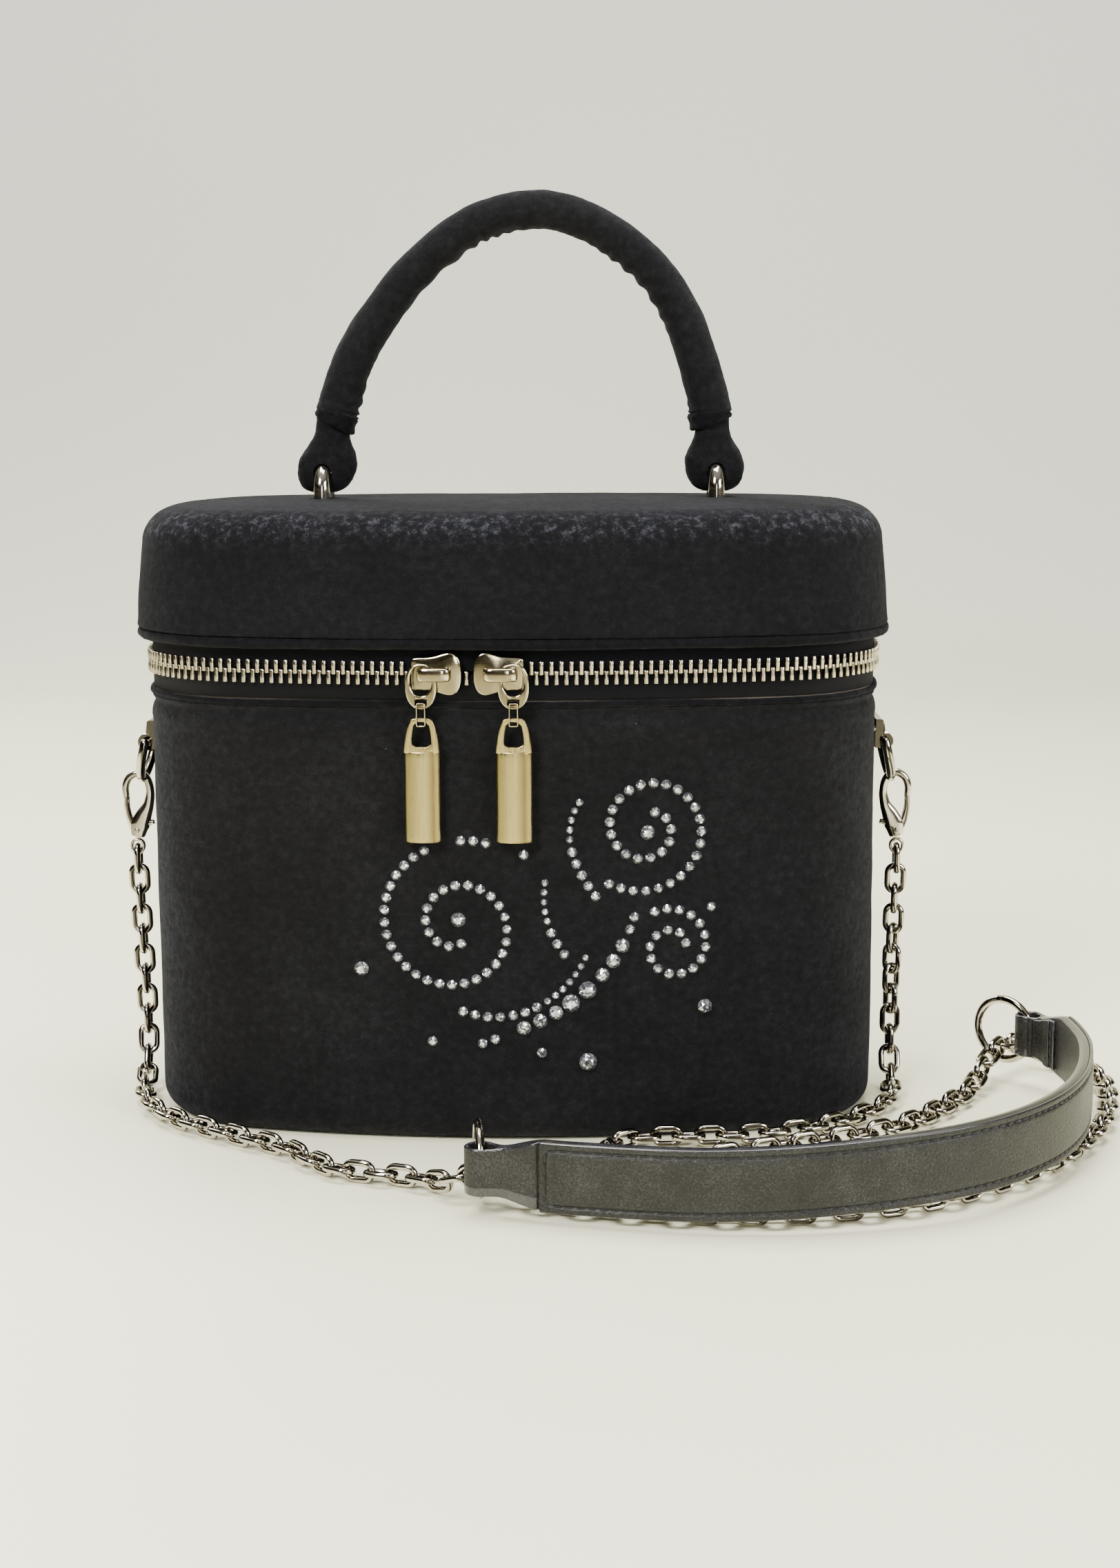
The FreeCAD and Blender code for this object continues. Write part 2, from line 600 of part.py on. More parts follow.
def pull_eye(centre_x):
    """Superelliptical ring, slightly narrower towards its foot."""
    power = 2 / 2.5
    outer, inner = [], []
    for k in range(EYE_POINTS):
        angle = 2 * math.pi * k / EYE_POINTS
        x, z = math.cos(angle), math.sin(angle)
        across = abs(x) ** power * (1 if x > 0 else -1)
        up = abs(z) ** power * (1 if z > 0 else -1)
        half_w = 4.0 if z > 0 else 4.0 - 0.55 * (z * z)
        outer.append((centre_x + half_w * across, 120.95 + 5.85 * up))
        inner.append((centre_x + (half_w - 1.25) * across, 122.35 + 3.75 * up))
    eye = plate_xz(outer, 2.7, 3.9).cut(plate_xz(inner, 2.0, 5.0))
    # slot for the link
    return eye.cut(front_box(centre_x - 1.6, centre_x + 1.6, 2.0, 5.0, 116.15, 117.75))


def pull_link(centre_x):
    link = front_box(centre_x - 1.3, centre_x + 1.3, PULL_OUT - 1.65, PULL_OUT + 1.65,
                     110.7, 117.0)
    return link.cut(front_box(centre_x - 3, centre_x + 3, PULL_OUT - 1.05, PULL_OUT + 1.05,
                              111.3, 116.4))


def pull_bar(centre_x):
    frame = plate_xz([(centre_x + x, z) for x, z in BAR_FRAME], PULL_OUT - 0.75, PULL_OUT + 0.75)
    frame = frame.cut(plate_xz([(centre_x + x, z) for x, z in BAR_WINDOW], 1.0, 6.0))
    # half-round weight on the lower part of the frame
    section = [Vector(centre_x + BAR_HALF_W, -1.8, BAR_Z0)]
    for k in range(17):
        angle = math.pi * k / 16
        section.append(Vector(centre_x + BAR_HALF_W * math.cos(angle),
                              -(2.35 + 2.45 * math.sin(angle)), BAR_Z0))
    section.append(Vector(centre_x - BAR_HALF_W, -1.8, BAR_Z0))
    face = Part.Face(Part.makePolygon(section + [section[0]]))
    return frame.fuse(face.extrude(Vector(0, 0, WEIGHT_H)))


for side_name, slider_x, facing in SLIDERS:
    save("slider_" + side_name, [place_on_front(s, slider_x) for s in slider(facing)])
    for name, make in (("pull_eye_", pull_eye), ("pull_link_", pull_link),
                       ("pull_bar_", pull_bar)):
        save(name + side_name, place_on_front(make(EYE_X * facing), slider_x))

# ------------------------------------------------------------ crystal scrollwork on the front
STONE_D = {"ss6": 2.0, "ss10": 2.75, "ss16": 3.9, "ss20": 4.75}    # diameters by size name
STONE_GAP, MIN_GAP = 0.55, 0.18
GIRDLE_H = 0.25
PULL_X = [x + EYE_X * facing for _, x, facing in SLIDERS]
PULL_CLEAR_HALF, PULL_CLEAR_Z = 4.9, 79.6     # area kept free behind the hanging pulls

stones = {size: [] for size in STONE_D}
taken = []               # (x, z, radius) of the stones already set


def set_stone(x, z, size):
    """Set a stone at (x, z) on the front unless a pull or another stone is in the way."""
    radius = STONE_D[size] / 2
    for pull_x in PULL_X:
        if abs(x - pull_x) < PULL_CLEAR_HALF + radius and z > PULL_CLEAR_Z - radius:
            return
    for other_x, other_z, other_radius in taken:
        if math.hypot(other_x - x, other_z - z) < other_radius + radius + MIN_GAP:
            return
    taken.append((x, z, radius))
    angle = math.asin(x / R_FRONT)
    outward = Vector(math.sin(angle), -math.cos(angle), 0)
    base = front_point(angle, z) + outward * 0.04
    crown = Part.makeCone(radius, radius * 0.42, 0.36 * STONE_D[size] - GIRDLE_H,
                          base + outward * GIRDLE_H, outward)
    stones[size].append(crown.fuse(Part.makeCylinder(radius, GIRDLE_H, base, outward)))


def run_stones(points, size_at, gap=STONE_GAP):
    """Lay stones along a dense polyline; size_at gives the size by fraction of its length."""
    lengths = [0.0]
    for a, b in zip(points, points[1:]):
        lengths.append(lengths[-1] + math.hypot(b[0] - a[0], b[1] - a[1]))
    s = 0.0
    while s <= lengths[-1]:
        i = max(k for k in range(len(lengths)) if lengths[k] <= s + 1e-9)
        i = min(i, len(points) - 2)
        (x0, z0), (x1, z1) = points[i], points[i + 1]
        share = (s - lengths[i]) / max(lengths[i + 1] - lengths[i], 1e-9)
        size = size_at(s / lengths[-1])
        set_stone(x0 + share * (x1 - x0), z0 + share * (z1 - z0), size)
        s += STONE_D[size] + gap


def spiral(centre_x, centre_z, r0, r1, start_degrees, turns, steps=240):
    points = []
    for k in range(steps + 1):
        share = k / steps
        angle = math.radians(start_degrees) + 2 * math.pi * turns * share
        r = r0 + (r1 - r0) * share ** 0.85
        points.append((centre_x + r * math.cos(angle), centre_z + r * math.sin(angle)))
    return points


def bezier(p0, p1, p2, p3, steps=120):
    points = []
    for k in range(steps + 1):
        u = k / steps
        v = 1 - u
        points.append(tuple(v**3 * a + 3 * v * v * u * b + 3 * v * u * u * c + u**3 * d
                            for a, b, c, d in zip(p0, p1, p2, p3)))
    return points


def even(share):
    return "ss10"


def tapering(share):
    return "ss6" if share > 0.55 else "ss10"


def swelling(share):
    for limit, size in ((0.12, "ss10"), (0.4, "ss16"), (0.62, "ss20"), (0.86, "ss16")):
        if share < limit:
            return size
    return "ss10"


# A rising leaf spray of graded stones, then open volutes and tendrils.
# The order matters: earlier stones keep their place where runs cross.
run_stones(bezier((-7, 27), (10, 33), (27, 40), (33, 62)), swelling, 0.75)
run_stones(spiral(-13.5, 58.5, 23.5, 5.0, 62, 1.62), even)
run_stones(bezier((-12, 35.6), (0, 31), (14, 37), (20, 50)), tapering)
run_stones(spiral(36.0, 83.5, 17.5, 4.5, -125, 1.55), even)
run_stones(spiral(42.5, 52.0, 11.5, 3.2, 150, -1.45), even)
run_stones(bezier((22.5, 66), (16, 75), (13, 84), (19.5, 92)), tapering)
run_stones(bezier((19, 46), (12, 52), (8, 60), (9.5, 70)), tapering)
# single stones: x, z, size
for x, z, size in (
        (-38.5, 46.5, "ss16"), (-20.0, 27.5, "ss10"), (20.5, 22.0, "ss20"),
        (51.0, 36.0, "ss16"), (52.5, 62.5, "ss10"), (-13.0, 60.0, "ss16"),
        (36.0, 82.5, "ss16"), (8.5, 24.5, "ss10"), (4.0, 77.0, "ss10")):
    set_stone(x, z, size)
for size, shapes in stones.items():
    if shapes:
        save("crystals_" + size, shapes)

# ------------------------------------------------------------ shoulder pad and its O-rings
PAD_H = 17.5
NECK_H, END_H = 13.2, 9.6       # strap height beside the folds and at them
FOLD_OUT_R, FOLD_IN_R = 3.7, 2.55
RING_R, RING_WIRE_R = 8.65, 1.15
RINGS = (("left", -0.1, 0.995), ("right", -0.75, 0.6614))   # name, plan direction from the fold
# (x, y, z) stations of the pad's lower edge, left end to right end
PAD = [
    (-4.8, -110.7, 3.0), (6.0, -114.2, 3.0), (19.4, -117.8, 3.0), (49.3, -123.0, 3.4),
    (78.9, -121.8, 4.6), (109.8, -112.0, 5.9), (131.2, -94.0, 6.2), (144.8, -70.9, 6.32),
    (152.3, -41.5, 6.2), (152.6, -18.5, 6.2), (149.2, -8.0, 6.2), (144.4, -1.5, 6.2)]
pad_curve = spline(PAD)
PAD_LENGTH = pad_curve.length()


def pad_at(s):
    """Point at length s and the horizontal direction that points away from the bag."""
    u = pad_curve.parameterAtDistance(s, pad_curve.FirstParameter)
    tangent = pad_curve.tangent(u)[0]
    tangent = Vector(tangent.x, tangent.y, 0)
    tangent.normalize()
    return pad_curve.value(u), Vector(tangent.y, -tangent.x, 0)


def strap_height(s):
    from_end = min(s, PAD_LENGTH - s)
    if from_end < 5.5:
        return END_H
    if from_end < 8.5:
        return NECK_H
    if from_end > 13.5:
        return PAD_H
    return NECK_H + (PAD_H - NECK_H) * (from_end - 8.5) / 5.0


def strip(margin, out0, out1, height_at, steps):
    """Upright strip along the pad, stopping the margin short of both ends."""
    s0, s1 = margin, PAD_LENGTH - margin
    sections = []
    for k in range(steps + 1):
        s = s0 + (s1 - s0) * k / steps
        point, outward = pad_at(s)
        z_mid = point.z + PAD_H / 2
        z0, z1 = z_mid - height_at(s) / 2, z_mid + height_at(s) / 2
        a, b = point + outward * out0, point + outward * out1
        corners = [Vector(a.x, a.y, z0), Vector(b.x, b.y, z0),
                   Vector(b.x, b.y, z1), Vector(a.x, a.y, z1)]
        sections.append(Part.makePolygon(corners + [corners[0]]))
    return Part.makeLoft(sections, True, True)


def fold_centre(s):
    point = pad_at(s)[0]
    return Vector(point.x, point.y, point.z + PAD_H / 2)


def fold_cylinder(centre, radius, height):
    return Part.makeCylinder(radius, height, centre - Vector(0, 0, height / 2))


folds = [fold_centre(s) for s in (0.0, PAD_LENGTH)]
strap = strip(2.9, -1.9, 0.55, strap_height, 44)
for centre in folds:
    strap = strap.fuse(fold_cylinder(centre, FOLD_OUT_R, END_H))
for centre in folds:
    strap = strap.cut(fold_cylinder(centre, FOLD_IN_R, 12))
save("shoulder_pad", strap)
save("shoulder_pad_facing", strip(15.0, 0.78, 1.9, lambda s: PAD_H - 0.6, 36))
for (side_name, dx, dy), centre in zip(RINGS, folds):
    reach = RING_R - 0.62
    ring_centre = centre + Vector(dx * reach, dy * reach, 0)
    save("pad_ring_" + side_name,
         Part.makeTorus(RING_R, RING_WIRE_R, ring_centre, Vector(dy, -dx, 0)))

# ------------------------------------------------------------ chain strap
LINK_IN, LINK_W, LINK_WIRE_R = 5.9, 6.2, 0.85    # inner length, outer width, wire radius
MAX_PITCH = 5.76
BOW_R = LINK_W / 2 - LINK_WIRE_R                 # centre line radius of a link's round ends
HALF_STRAIGHT = LINK_IN / 2 + LINK_WIRE_R - BOW_R
FLOOR_Z = 2.5                                    # centre line of the chain on the floor
PAD_LEFT_PEAK = (-5.7, -102.4, 7.2)              # where the chain rises at the pad's ends
PAD_RIGHT_PEAK = (137.9, 4.2, 10.2)
# (x, y, z) stations from the left clasp down, round the floor and up to the right clasp
CHAIN = [
    (-106.3, 0, 65.35), (-105.9, 0, 50), (-105.3, -0.3, 34), (-104.8, -1.2, 18),
    (-104.6, -4.0, 8.0), (-104.2, -9.5, 3.3), (-103.2, -17, FLOOR_Z), (-100.6, -26, FLOOR_Z),
    (-96.0, -35.0, FLOOR_Z), (-89.1, -43.8, FLOOR_Z), (-80.5, -50.8, FLOOR_Z),
    (-71.1, -57.8, FLOOR_Z), (-62.6, -63.6, FLOOR_Z), (-55, -70, FLOOR_Z), (-49, -78, FLOOR_Z),
    (-42, -84.6, FLOOR_Z), (-32.5, -88.0, FLOOR_Z), (-23.0, -91.0, 2.6), (-16.0, -96.0, 3.6),
    (-11.0, -100.2, 5.6), PAD_LEFT_PEAK, (0.5, -104.2, 6.0), (6.5, -106.6, 4.2),
    (14, -109.4, 2.8), (24, -112.4, FLOOR_Z), (36, -115.0, FLOOR_Z), (49.3, -116.8, FLOOR_Z),
    (63, -117.2, FLOOR_Z), (77.5, -115.4, FLOOR_Z), (91.5, -112.0, FLOOR_Z),
    (105, -106.0, FLOOR_Z), (118, -97.0, FLOOR_Z), (130, -86.5, FLOOR_Z), (140, -75.5, FLOOR_Z),
    (148.5, -62.5, FLOOR_Z), (155.5, -48, FLOOR_Z), (160.5, -33, FLOOR_Z),
    (163.4, -19, FLOOR_Z), (164.3, -7, FLOOR_Z), (162.2, 5, 2.6), (156.4, 13.6, 3.6),
    (148.5, 14.8, 6.2), (142.6, 10.4, 8.9), PAD_RIGHT_PEAK, (133.4, -2.6, 8.9),
    (129.6, -9.5, 5.9), (125.2, -17.5, 3.2), (119, -27.5, FLOOR_Z), (112, -38, FLOOR_Z),
    (103, -48.5, FLOOR_Z), (91.5, -56.5, FLOOR_Z), (79, -62.5, FLOOR_Z), (67, -68.0, FLOOR_Z),
    (55, -73.5, FLOOR_Z), (43, -78.2, FLOOR_Z), (32, -77.8, FLOOR_Z), (25.5, -70.5, FLOOR_Z),
    (28.5, -62.0, FLOOR_Z), (38.5, -58.6, FLOOR_Z), (52, -57.6, FLOOR_Z), (65, -55.6, FLOOR_Z),
    (77, -51.2, FLOOR_Z), (87.2, -44.6, FLOOR_Z), (95.6, -36.2, FLOOR_Z),
    (101.4, -26.2, FLOOR_Z), (104.0, -16.5, FLOOR_Z), (104.8, -9.5, 3.3), (105.0, -4.0, 8.0),
    (105.2, -1.2, 18), (105.5, -0.3, 34), (105.9, 0, 50), (106.3, 0, 65.35)]
# link number: small shift (x, y, z in mm) and turn (rotation vector in degrees) that seats
# the link against its neighbours
SEAT = {
    8: (-0.028, 0.044, -0.062, 0.14, 0.18, 0.06), 9: (0.014, -0.053, -0.007, 0.47, 0.16, -0.12),
    10: (-0.036, 0.037, -0.098, 0.4, 0.45, -0.05), 11: (0.172, -0.272, 0.682, -2.81, -0.87, 0.21),
    12: (-0.12, 0.011, -0.02, -1.35, 0.46, 0.28), 13: (0.078, 0.047, 0.33, -0.3, -0.39, -0.01),
    14: (-0.04, 0.009, 0.001, -0.19, 0.42, -0.04), 15: (0.072, 0.052, 0.364, 0.08, -0.41, 0.02),
    16: (-0.064, -0.036, 0.003, -0.26, 0.37, -0.09), 17: (0.073, 0.055, 0.351, 0.27, -0.29, -0.08),
    18: (-0.002, -0.007, 0.003, -0.3, 0.21, 0.09), 19: (0.045, 0.07, 0.346, 0.09, -0.45, 0.18),
    20: (-0.088, -0.095, 0.003, -0.44, 0.27, 0.01), 21: (0.065, 0.095, 0.342, 0.27, -0.18, -0.05),
    22: (-0.044, -0.072, 0.002, -0.36, 0.22, 0.05), 23: (0.071, 0.086, 0.351, 0.17, -0.39, 0.09),
    24: (-0.076, -0.119, 0.006, -0.51, 0.19, 0.05), 25: (0.071, 0.065, 0.342, -0.03, -0.32, 0.04),
    26: (-0.137, -0.155, 0.004, -0.46, 0.53, -0.34), 27: (0.056, 0.046, 0.344, 0.54, -0.21, -0.53),
    28: (0.041, 0.066, 0.005, -0.18, 0.33, -0.53), 29: (0.062, 0.119, 0.396, 0.4, -0.55, 0.13),
    30: (0.028, -0.002, 0.007, -0.43, -0.13, 0.69), 31: (0.022, 0.071, 0.345, 0.3, -0.52, 0.53),
    32: (-0.104, -0.229, -0.002, -0.76, 0.56, 0.24), 33: (-0.081, 0.065, 0.229, 1.49, 1.72, -0.53),
    34: (-0.016, 0.018, 0.04, 0.16, 0.19, -0.64), 35: (0.066, 0.097, 0.212, -0.37, -1.09, 0.24),
    36: (-0.041, -0.012, 0.218, -0.91, -0.74, 0.69), 37: (-0.092, -0.098, -0.102, 0.34, 0.17, 0.06),
    38: (-0.015, 0.007, 0.05, -0.14, 0.34, -0.35), 39: (0.089, 0.059, 0.163, -0.06, -0.82, 0.14),
    40: (-0.009, -0.08, -0.003, -0.34, -0.02, 0.15), 41: (0.062, 0.098, 0.312, 0.07, -0.83, 0.25),
    42: (-0.029, -0.109, 0.004, -0.46, -0, 0.17), 43: (0.017, 0.101, 0.328, 0.24, -0.1, 0.06),
    44: (-0.016, -0.102, 0.001, -0.41, 0.07, -0.01), 45: (0.015, 0.106, 0.328, 0.28, -0.04, -0.02),
    46: (-0.01, -0.099, 0, -0.41, 0.06, -0.08), 47: (0.009, 0.101, 0.329, 0.28, 0.03, -0.08),
    48: (-0.001, -0.073, 0.001, -0.38, -0, -0.08), 49: (-0.013, 0.109, 0.337, 0.33, -0.09, 0.02),
    50: (0.013, -0.089, 0.002, -0.39, -0.09, 0.02), 51: (-0.016, 0.091, 0.331, 0.27, -0, 0.01),
    52: (0.025, -0.093, 0.001, -0.42, -0.1, -0.14), 53: (-0.021, 0.102, 0.332, 0.28, 0.13, -0.1),
    54: (0.023, -0.061, 0.001, -0.37, -0.13, -0.08), 55: (-0.043, 0.089, 0.337, 0.34, 0.07, -0.01),
    56: (0.03, -0.057, 0.002, -0.32, -0.22, 0.01), 57: (-0.06, 0.081, 0.338, 0.33, 0.07, 0.1),
    58: (0.055, -0.073, 0.002, -0.31, -0.28, 0.06), 59: (-0.065, 0.077, 0.328, 0.23, 0.13, 0.05),
    60: (0.067, -0.077, 0.001, -0.32, -0.27, -0.01), 61: (-0.071, 0.079, 0.327, 0.21, 0.2, -0.02),
    62: (0.069, -0.069, 0.001, -0.31, -0.28, -0.08), 63: (-0.074, 0.071, 0.33, 0.16, 0.23, -0.07),
    64: (0.058, -0.049, 0.001, -0.24, -0.29, -0.08), 65: (-0.088, 0.055, 0.331, 0.22, 0.23, -0),
    66: (0.075, -0.039, -0.012, -0.14, -0.38, -0.03), 67: (-0.088, 0.048, 0.324, 0.26, 0.18, 0.03),
    68: (0.087, -0.042, 0.002, -0.16, -0.39, -0.04), 69: (-0.096, 0.042, 0.33, 0.17, 0.24, -0.02),
    70: (0.084, -0.031, 0.001, -0.12, -0.39, -0.06), 71: (-0.1, 0.032, 0.33, 0.16, 0.25, -0.01),
    72: (0.09, -0.023, 0.001, -0.09, -0.41, -0.05), 73: (-0.1, 0.025, 0.332, 0.13, 0.27, -0.02),
    74: (0.095, -0.012, 0.001, -0.08, -0.41, -0.11), 75: (-0.09, 0.028, 0.336, -0.01, 0.28, -0.1),
    76: (0.073, 0.006, 0.003, -0.13, -0.41, -0.2), 77: (-0.076, 0.027, 0.361, -0.2, 0.39, -0.21),
    78: (0.034, 0.031, -0.006, -0.17, -0.49, -0.48), 79: (-0.005, 0.029, 0.332, -1.3, 0.13, -0.68),
    80: (-0.075, -0.011, -0.017, -0.45, -0.64, -1.43),
    81: (0.019, -0.044, 0.32, -2.25, -1.29, -1.12), 82: (-0.069, -0.342, -0.019, 0.01, -0.06, -0.34),
    83: (0.044, 0.06, 0.052, 0.28, -0.19, 0.29), 84: (0.057, -0.025, 0.042, 0.01, 0.48, 0.47),
    85: (-0.02, 0.085, -0.113, -0.42, 0.09, 0.18), 86: (0.017, 0.008, 0.045, 0.11, -0.05, -0.08),
    87: (-0.016, -0.009, -0.033, 0.15, -0.11, -0.04), 88: (0.004, 0.001, 0.011, 0.16, 0.02, -0.09),
    89: (0.006, -0.029, 0.035, -0.07, -0.03, 0.01), 90: (-0.03, -0.014, 0.031, -0.02, 0.07, 0.08),
    91: (0.003, -0.128, 0.27, -1.64, 0.65, 0.27), 92: (-0.103, 0.073, -0.003, 0.11, 0.65, 0.04),
    93: (0.098, -0.06, 0.353, -0.43, -0.15, 0.02), 94: (-0.116, 0.062, 0.007, 0.21, 0.53, -0.03),
    95: (0.088, -0.083, 0.34, -0.28, -0.22, 0), 96: (-0.116, 0.112, 0.004, 0.43, 0.43, -0),
    97: (0.075, -0.087, 0.346, -0.25, -0.19, -0.02), 98: (-0.088, 0.127, 0.004, 0.49, 0.32, -0.04),
    99: (0.065, -0.098, 0.341, -0.27, -0.19, -0.03), 100: (-0.051, 0.116, 0.004, 0.45, 0.23, -0.01),
    101: (0.069, -0.094, 0.344, -0.39, -0.02, 0.01), 102: (-0.04, 0.1, 0.004, 0.44, 0.24, 0.01),
    103: (0.047, -0.095, 0.345, -0.35, -0.12, -0), 104: (-0.046, 0.096, 0.003, 0.45, 0.21, -0.01),
    105: (0.04, -0.101, 0.352, -0.38, -0.08, 0.01), 106: (-0.053, 0.071, 0.004, 0.41, 0.22, 0.14),
    107: (0.014, -0.131, 0.364, -0.41, -0.04, 0.25), 108: (-0.096, 0.174, 0.005, 0.67, 0.22, 0.3),
    109: (-0.049, -0.153, 0.37, -0.33, 0, 0.27), 110: (0.067, 0.418, 0.007, 0.99, -0.28, 0.16),
    111: (-0.177, -0.145, 0.361, -0.29, 0.22, 0.33), 112: (0.647, 0.181, 0.01, 0.38, -1.32, 0.34),
    113: (-0.173, 0.057, 0.352, 0.19, 0.26, -0.07), 114: (0.296, -0.45, 0.008, -1, -0.67, -0.18),
    115: (-0.094, 0.112, 0.355, 0.32, 0.18, -0.54), 116: (-0.053, -0.085, 0.006, -0.48, 0.07, -0.55),
    117: (-0.046, 0.104, 0.372, 0.37, 0.26, -0.12), 118: (-0.012, -0.079, 0.004, -0.46, 0.02, -0.2),
    119: (-0.022, 0.096, 0.349, 0.36, 0.2, -0.07), 120: (0.012, -0.068, 0.004, -0.42, -0.05, -0.13),
    121: (-0.031, 0.095, 0.339, 0.34, 0.16, -0.04), 122: (0.025, -0.056, 0.003, -0.37, -0.16, -0.04),
    123: (-0.05, 0.085, 0.338, 0.34, 0.14, 0.01), 124: (0.047, -0.061, 0.002, -0.34, -0.24, -0.03),
    125: (-0.057, 0.072, 0.336, 0.24, 0.28, -0.05), 126: (0.042, -0.035, 0.003, -0.3, -0.27, -0.1),
    127: (-0.065, 0.055, 0.349, 0.25, 0.31, -0.05), 128: (0.024, 0.002, 0.003, -0.15, -0.36, -0.01),
    129: (-0.077, 0.045, 0.363, 0.33, 0.33, 0.07), 130: (0.112, -0.002, 0.014, -1.08, -0.58, -0.26),
    131: (-0.064, -0.111, 0.478, -3.68, 1.04, -0.66), 132: (-0.035, 0.008, 0.029, -0.32, 0.09, -0.51),
    133: (-0.06, -0.155, 0.114, 0.36, 0.02, 0.18), 134: (0.038, 0.067, -0.1, 0.28, -0.28, -0.07),
    135: (-0.001, 0, -0.023, 0.02, 0.01, -0),
}


def make_link():
    """One link, centred on the origin, long along X and flat in the XY plane."""
    parts = []
    for side, x0, x1 in ((-1, -9, 0), (1, 0, 9)):
        bow = Part.makeTorus(BOW_R, LINK_WIRE_R, Vector(0, 0, 0), Vector(0, 0, 1))
        bow = bow.common(box(x0, x1, -9, 9, -9, 9))
        bow.translate(Vector(side * HALF_STRAIGHT, 0, 0))
        parts.append(bow)
        parts.append(Part.makeCylinder(LINK_WIRE_R, 2 * HALF_STRAIGHT,
                                       Vector(-HALF_STRAIGHT, side * BOW_R, 0), Vector(1, 0, 0)))
    link = parts[0]
    for part in parts[1:]:
        link = link.fuse(part)
    return link.removeSplitter()


def chain_points():
    curve = spline(CHAIN)
    length = curve.length()
    count = int(math.ceil(length / MAX_PITCH))
    pitch = length / count
    return [curve.value(curve.parameterAtDistance(min(k * pitch, length), curve.FirstParameter))
            for k in range(count + 1)]


def chain_tangent(points, k):
    last = len(points) - 1
    if k in (0, last):
        return Vector(0, 0, -1 if k == 0 else 1)
    tangent = points[k + 1] - points[k - 1]
    tangent.normalize()
    return tangent


def chain_twist(points, k, tangent, across):
    """Degrees to turn the chain about its run at link k."""
    last = len(points) - 1
    if 5 < k < last - 5 and points[k].z < 14:
        # on the floor, twist by up to 16 degrees a link towards the nearest 45 degree lean
        level = tangent.cross(Vector(0, 0, 1))
        level.normalize()
        lean = math.degrees(math.atan2(across.dot(level.cross(tangent)), across.dot(level)))
        turns = [(goal - lean + 180) % 360 - 180 for goal in (-135, -45, 45, 135)]
        return max(-16.0, min(16.0, min(turns, key=abs)))
    remaining = last - k
    if remaining > 10:
        return 0.0
    # line up so that the last link's plane contains Y
    y_axis = Vector(0, 1, 0)
    angle = math.degrees(math.atan2(y_axis.dot(tangent.cross(across)), y_axis.dot(across)))
    angle -= (last % 2) * 90
    return ((angle + 90) % 180 - 90) / max(remaining, 1)


def place_link(link, k, point, tangent, width):
    x, y, z = tangent, width, tangent.cross(width)
    p = Vector(point)
    # lift the link clear of the floor
    low = p.z - (abs(y.z) * BOW_R + LINK_WIRE_R + abs(x.z) * HALF_STRAIGHT)
    if low < 0.02:
        p.z += 0.02 - low
    placed = link.copy()
    placed.Placement = Placement(Matrix(x.x, y.x, z.x, p.x, x.y, y.y, z.y, p.y,
                                        x.z, y.z, z.z, p.z, 0, 0, 0, 1))
    if k in SEAT:
        turn = Vector(*SEAT[k][3:])
        if turn.Length > 1e-6:
            placed.rotate(p, turn, turn.Length)
        placed.translate(Vector(*SEAT[k][:3]))
    return placed


def chain_links(points):
    link = make_link()
    links = []
    across = Vector(0, 1, 0)
    for k, point in enumerate(points):
        tangent = chain_tangent(points, k)
        across = across - tangent * across.dot(tangent)
        across.normalize()
        across = Rotation(tangent, chain_twist(points, k, tangent, across)).multVec(across)
        # every other link stands square to its neighbours
        width = Rotation(tangent, 90.0 * (k % 2)).multVec(across)
        links.append(place_link(link, k, point, tangent, width))
    return links


def nearest(points, station):
    return min(range(len(points)), key=lambda k: (points[k] - Vector(*station)).Length)


points = chain_points()
links = chain_links(points)
low_links = [k for k, point in enumerate(points) if point.z < 5]
cuts = [0, low_links[0] + 1, nearest(points, PAD_LEFT_PEAK), nearest(points, PAD_RIGHT_PEAK),
        low_links[-1], len(links)]
for name, start, end in zip(("left_drop", "left_floor", "pad_run", "right_floor", "right_drop"),
                            cuts, cuts[1:]):
    save("chain_" + name, links[start:end])
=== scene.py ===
# A small velvet vanity bag: a flat-bottomed body, a padded lid closed by a two-way zip, a bowed
# top handle, crystals on the front, and a chain with a leather shoulder pad lying on the floor.
# The bag stands on z = 0, centred on the Z axis, with its front towards -Y and its left at -X.
# Shapes are drawn in millimetres; the lights and the camera are placed in metres.
import json
import math
import random

import bmesh
import bpy
import numpy as np
from mathutils import Matrix, Vector, noise


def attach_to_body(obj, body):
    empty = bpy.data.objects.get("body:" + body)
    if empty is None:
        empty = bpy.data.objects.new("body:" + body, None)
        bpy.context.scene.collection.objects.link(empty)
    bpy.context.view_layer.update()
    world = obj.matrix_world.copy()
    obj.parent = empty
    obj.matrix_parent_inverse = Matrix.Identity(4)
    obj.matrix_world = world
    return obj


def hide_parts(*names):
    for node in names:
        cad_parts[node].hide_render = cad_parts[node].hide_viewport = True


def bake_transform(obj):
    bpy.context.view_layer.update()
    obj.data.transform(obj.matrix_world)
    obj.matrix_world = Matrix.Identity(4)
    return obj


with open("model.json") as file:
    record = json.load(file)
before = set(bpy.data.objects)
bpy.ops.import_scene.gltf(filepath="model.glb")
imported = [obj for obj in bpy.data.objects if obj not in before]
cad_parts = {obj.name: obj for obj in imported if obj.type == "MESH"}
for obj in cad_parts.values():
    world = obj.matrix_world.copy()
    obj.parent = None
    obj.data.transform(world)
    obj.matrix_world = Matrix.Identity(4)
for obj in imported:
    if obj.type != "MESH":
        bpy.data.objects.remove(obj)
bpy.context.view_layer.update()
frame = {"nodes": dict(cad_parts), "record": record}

MM = 0.001
NODES = frame["nodes"]
BODY_OF = {name: body for body, names in frame["record"]["behaviour"]["bodies"].items()
           for name in names}

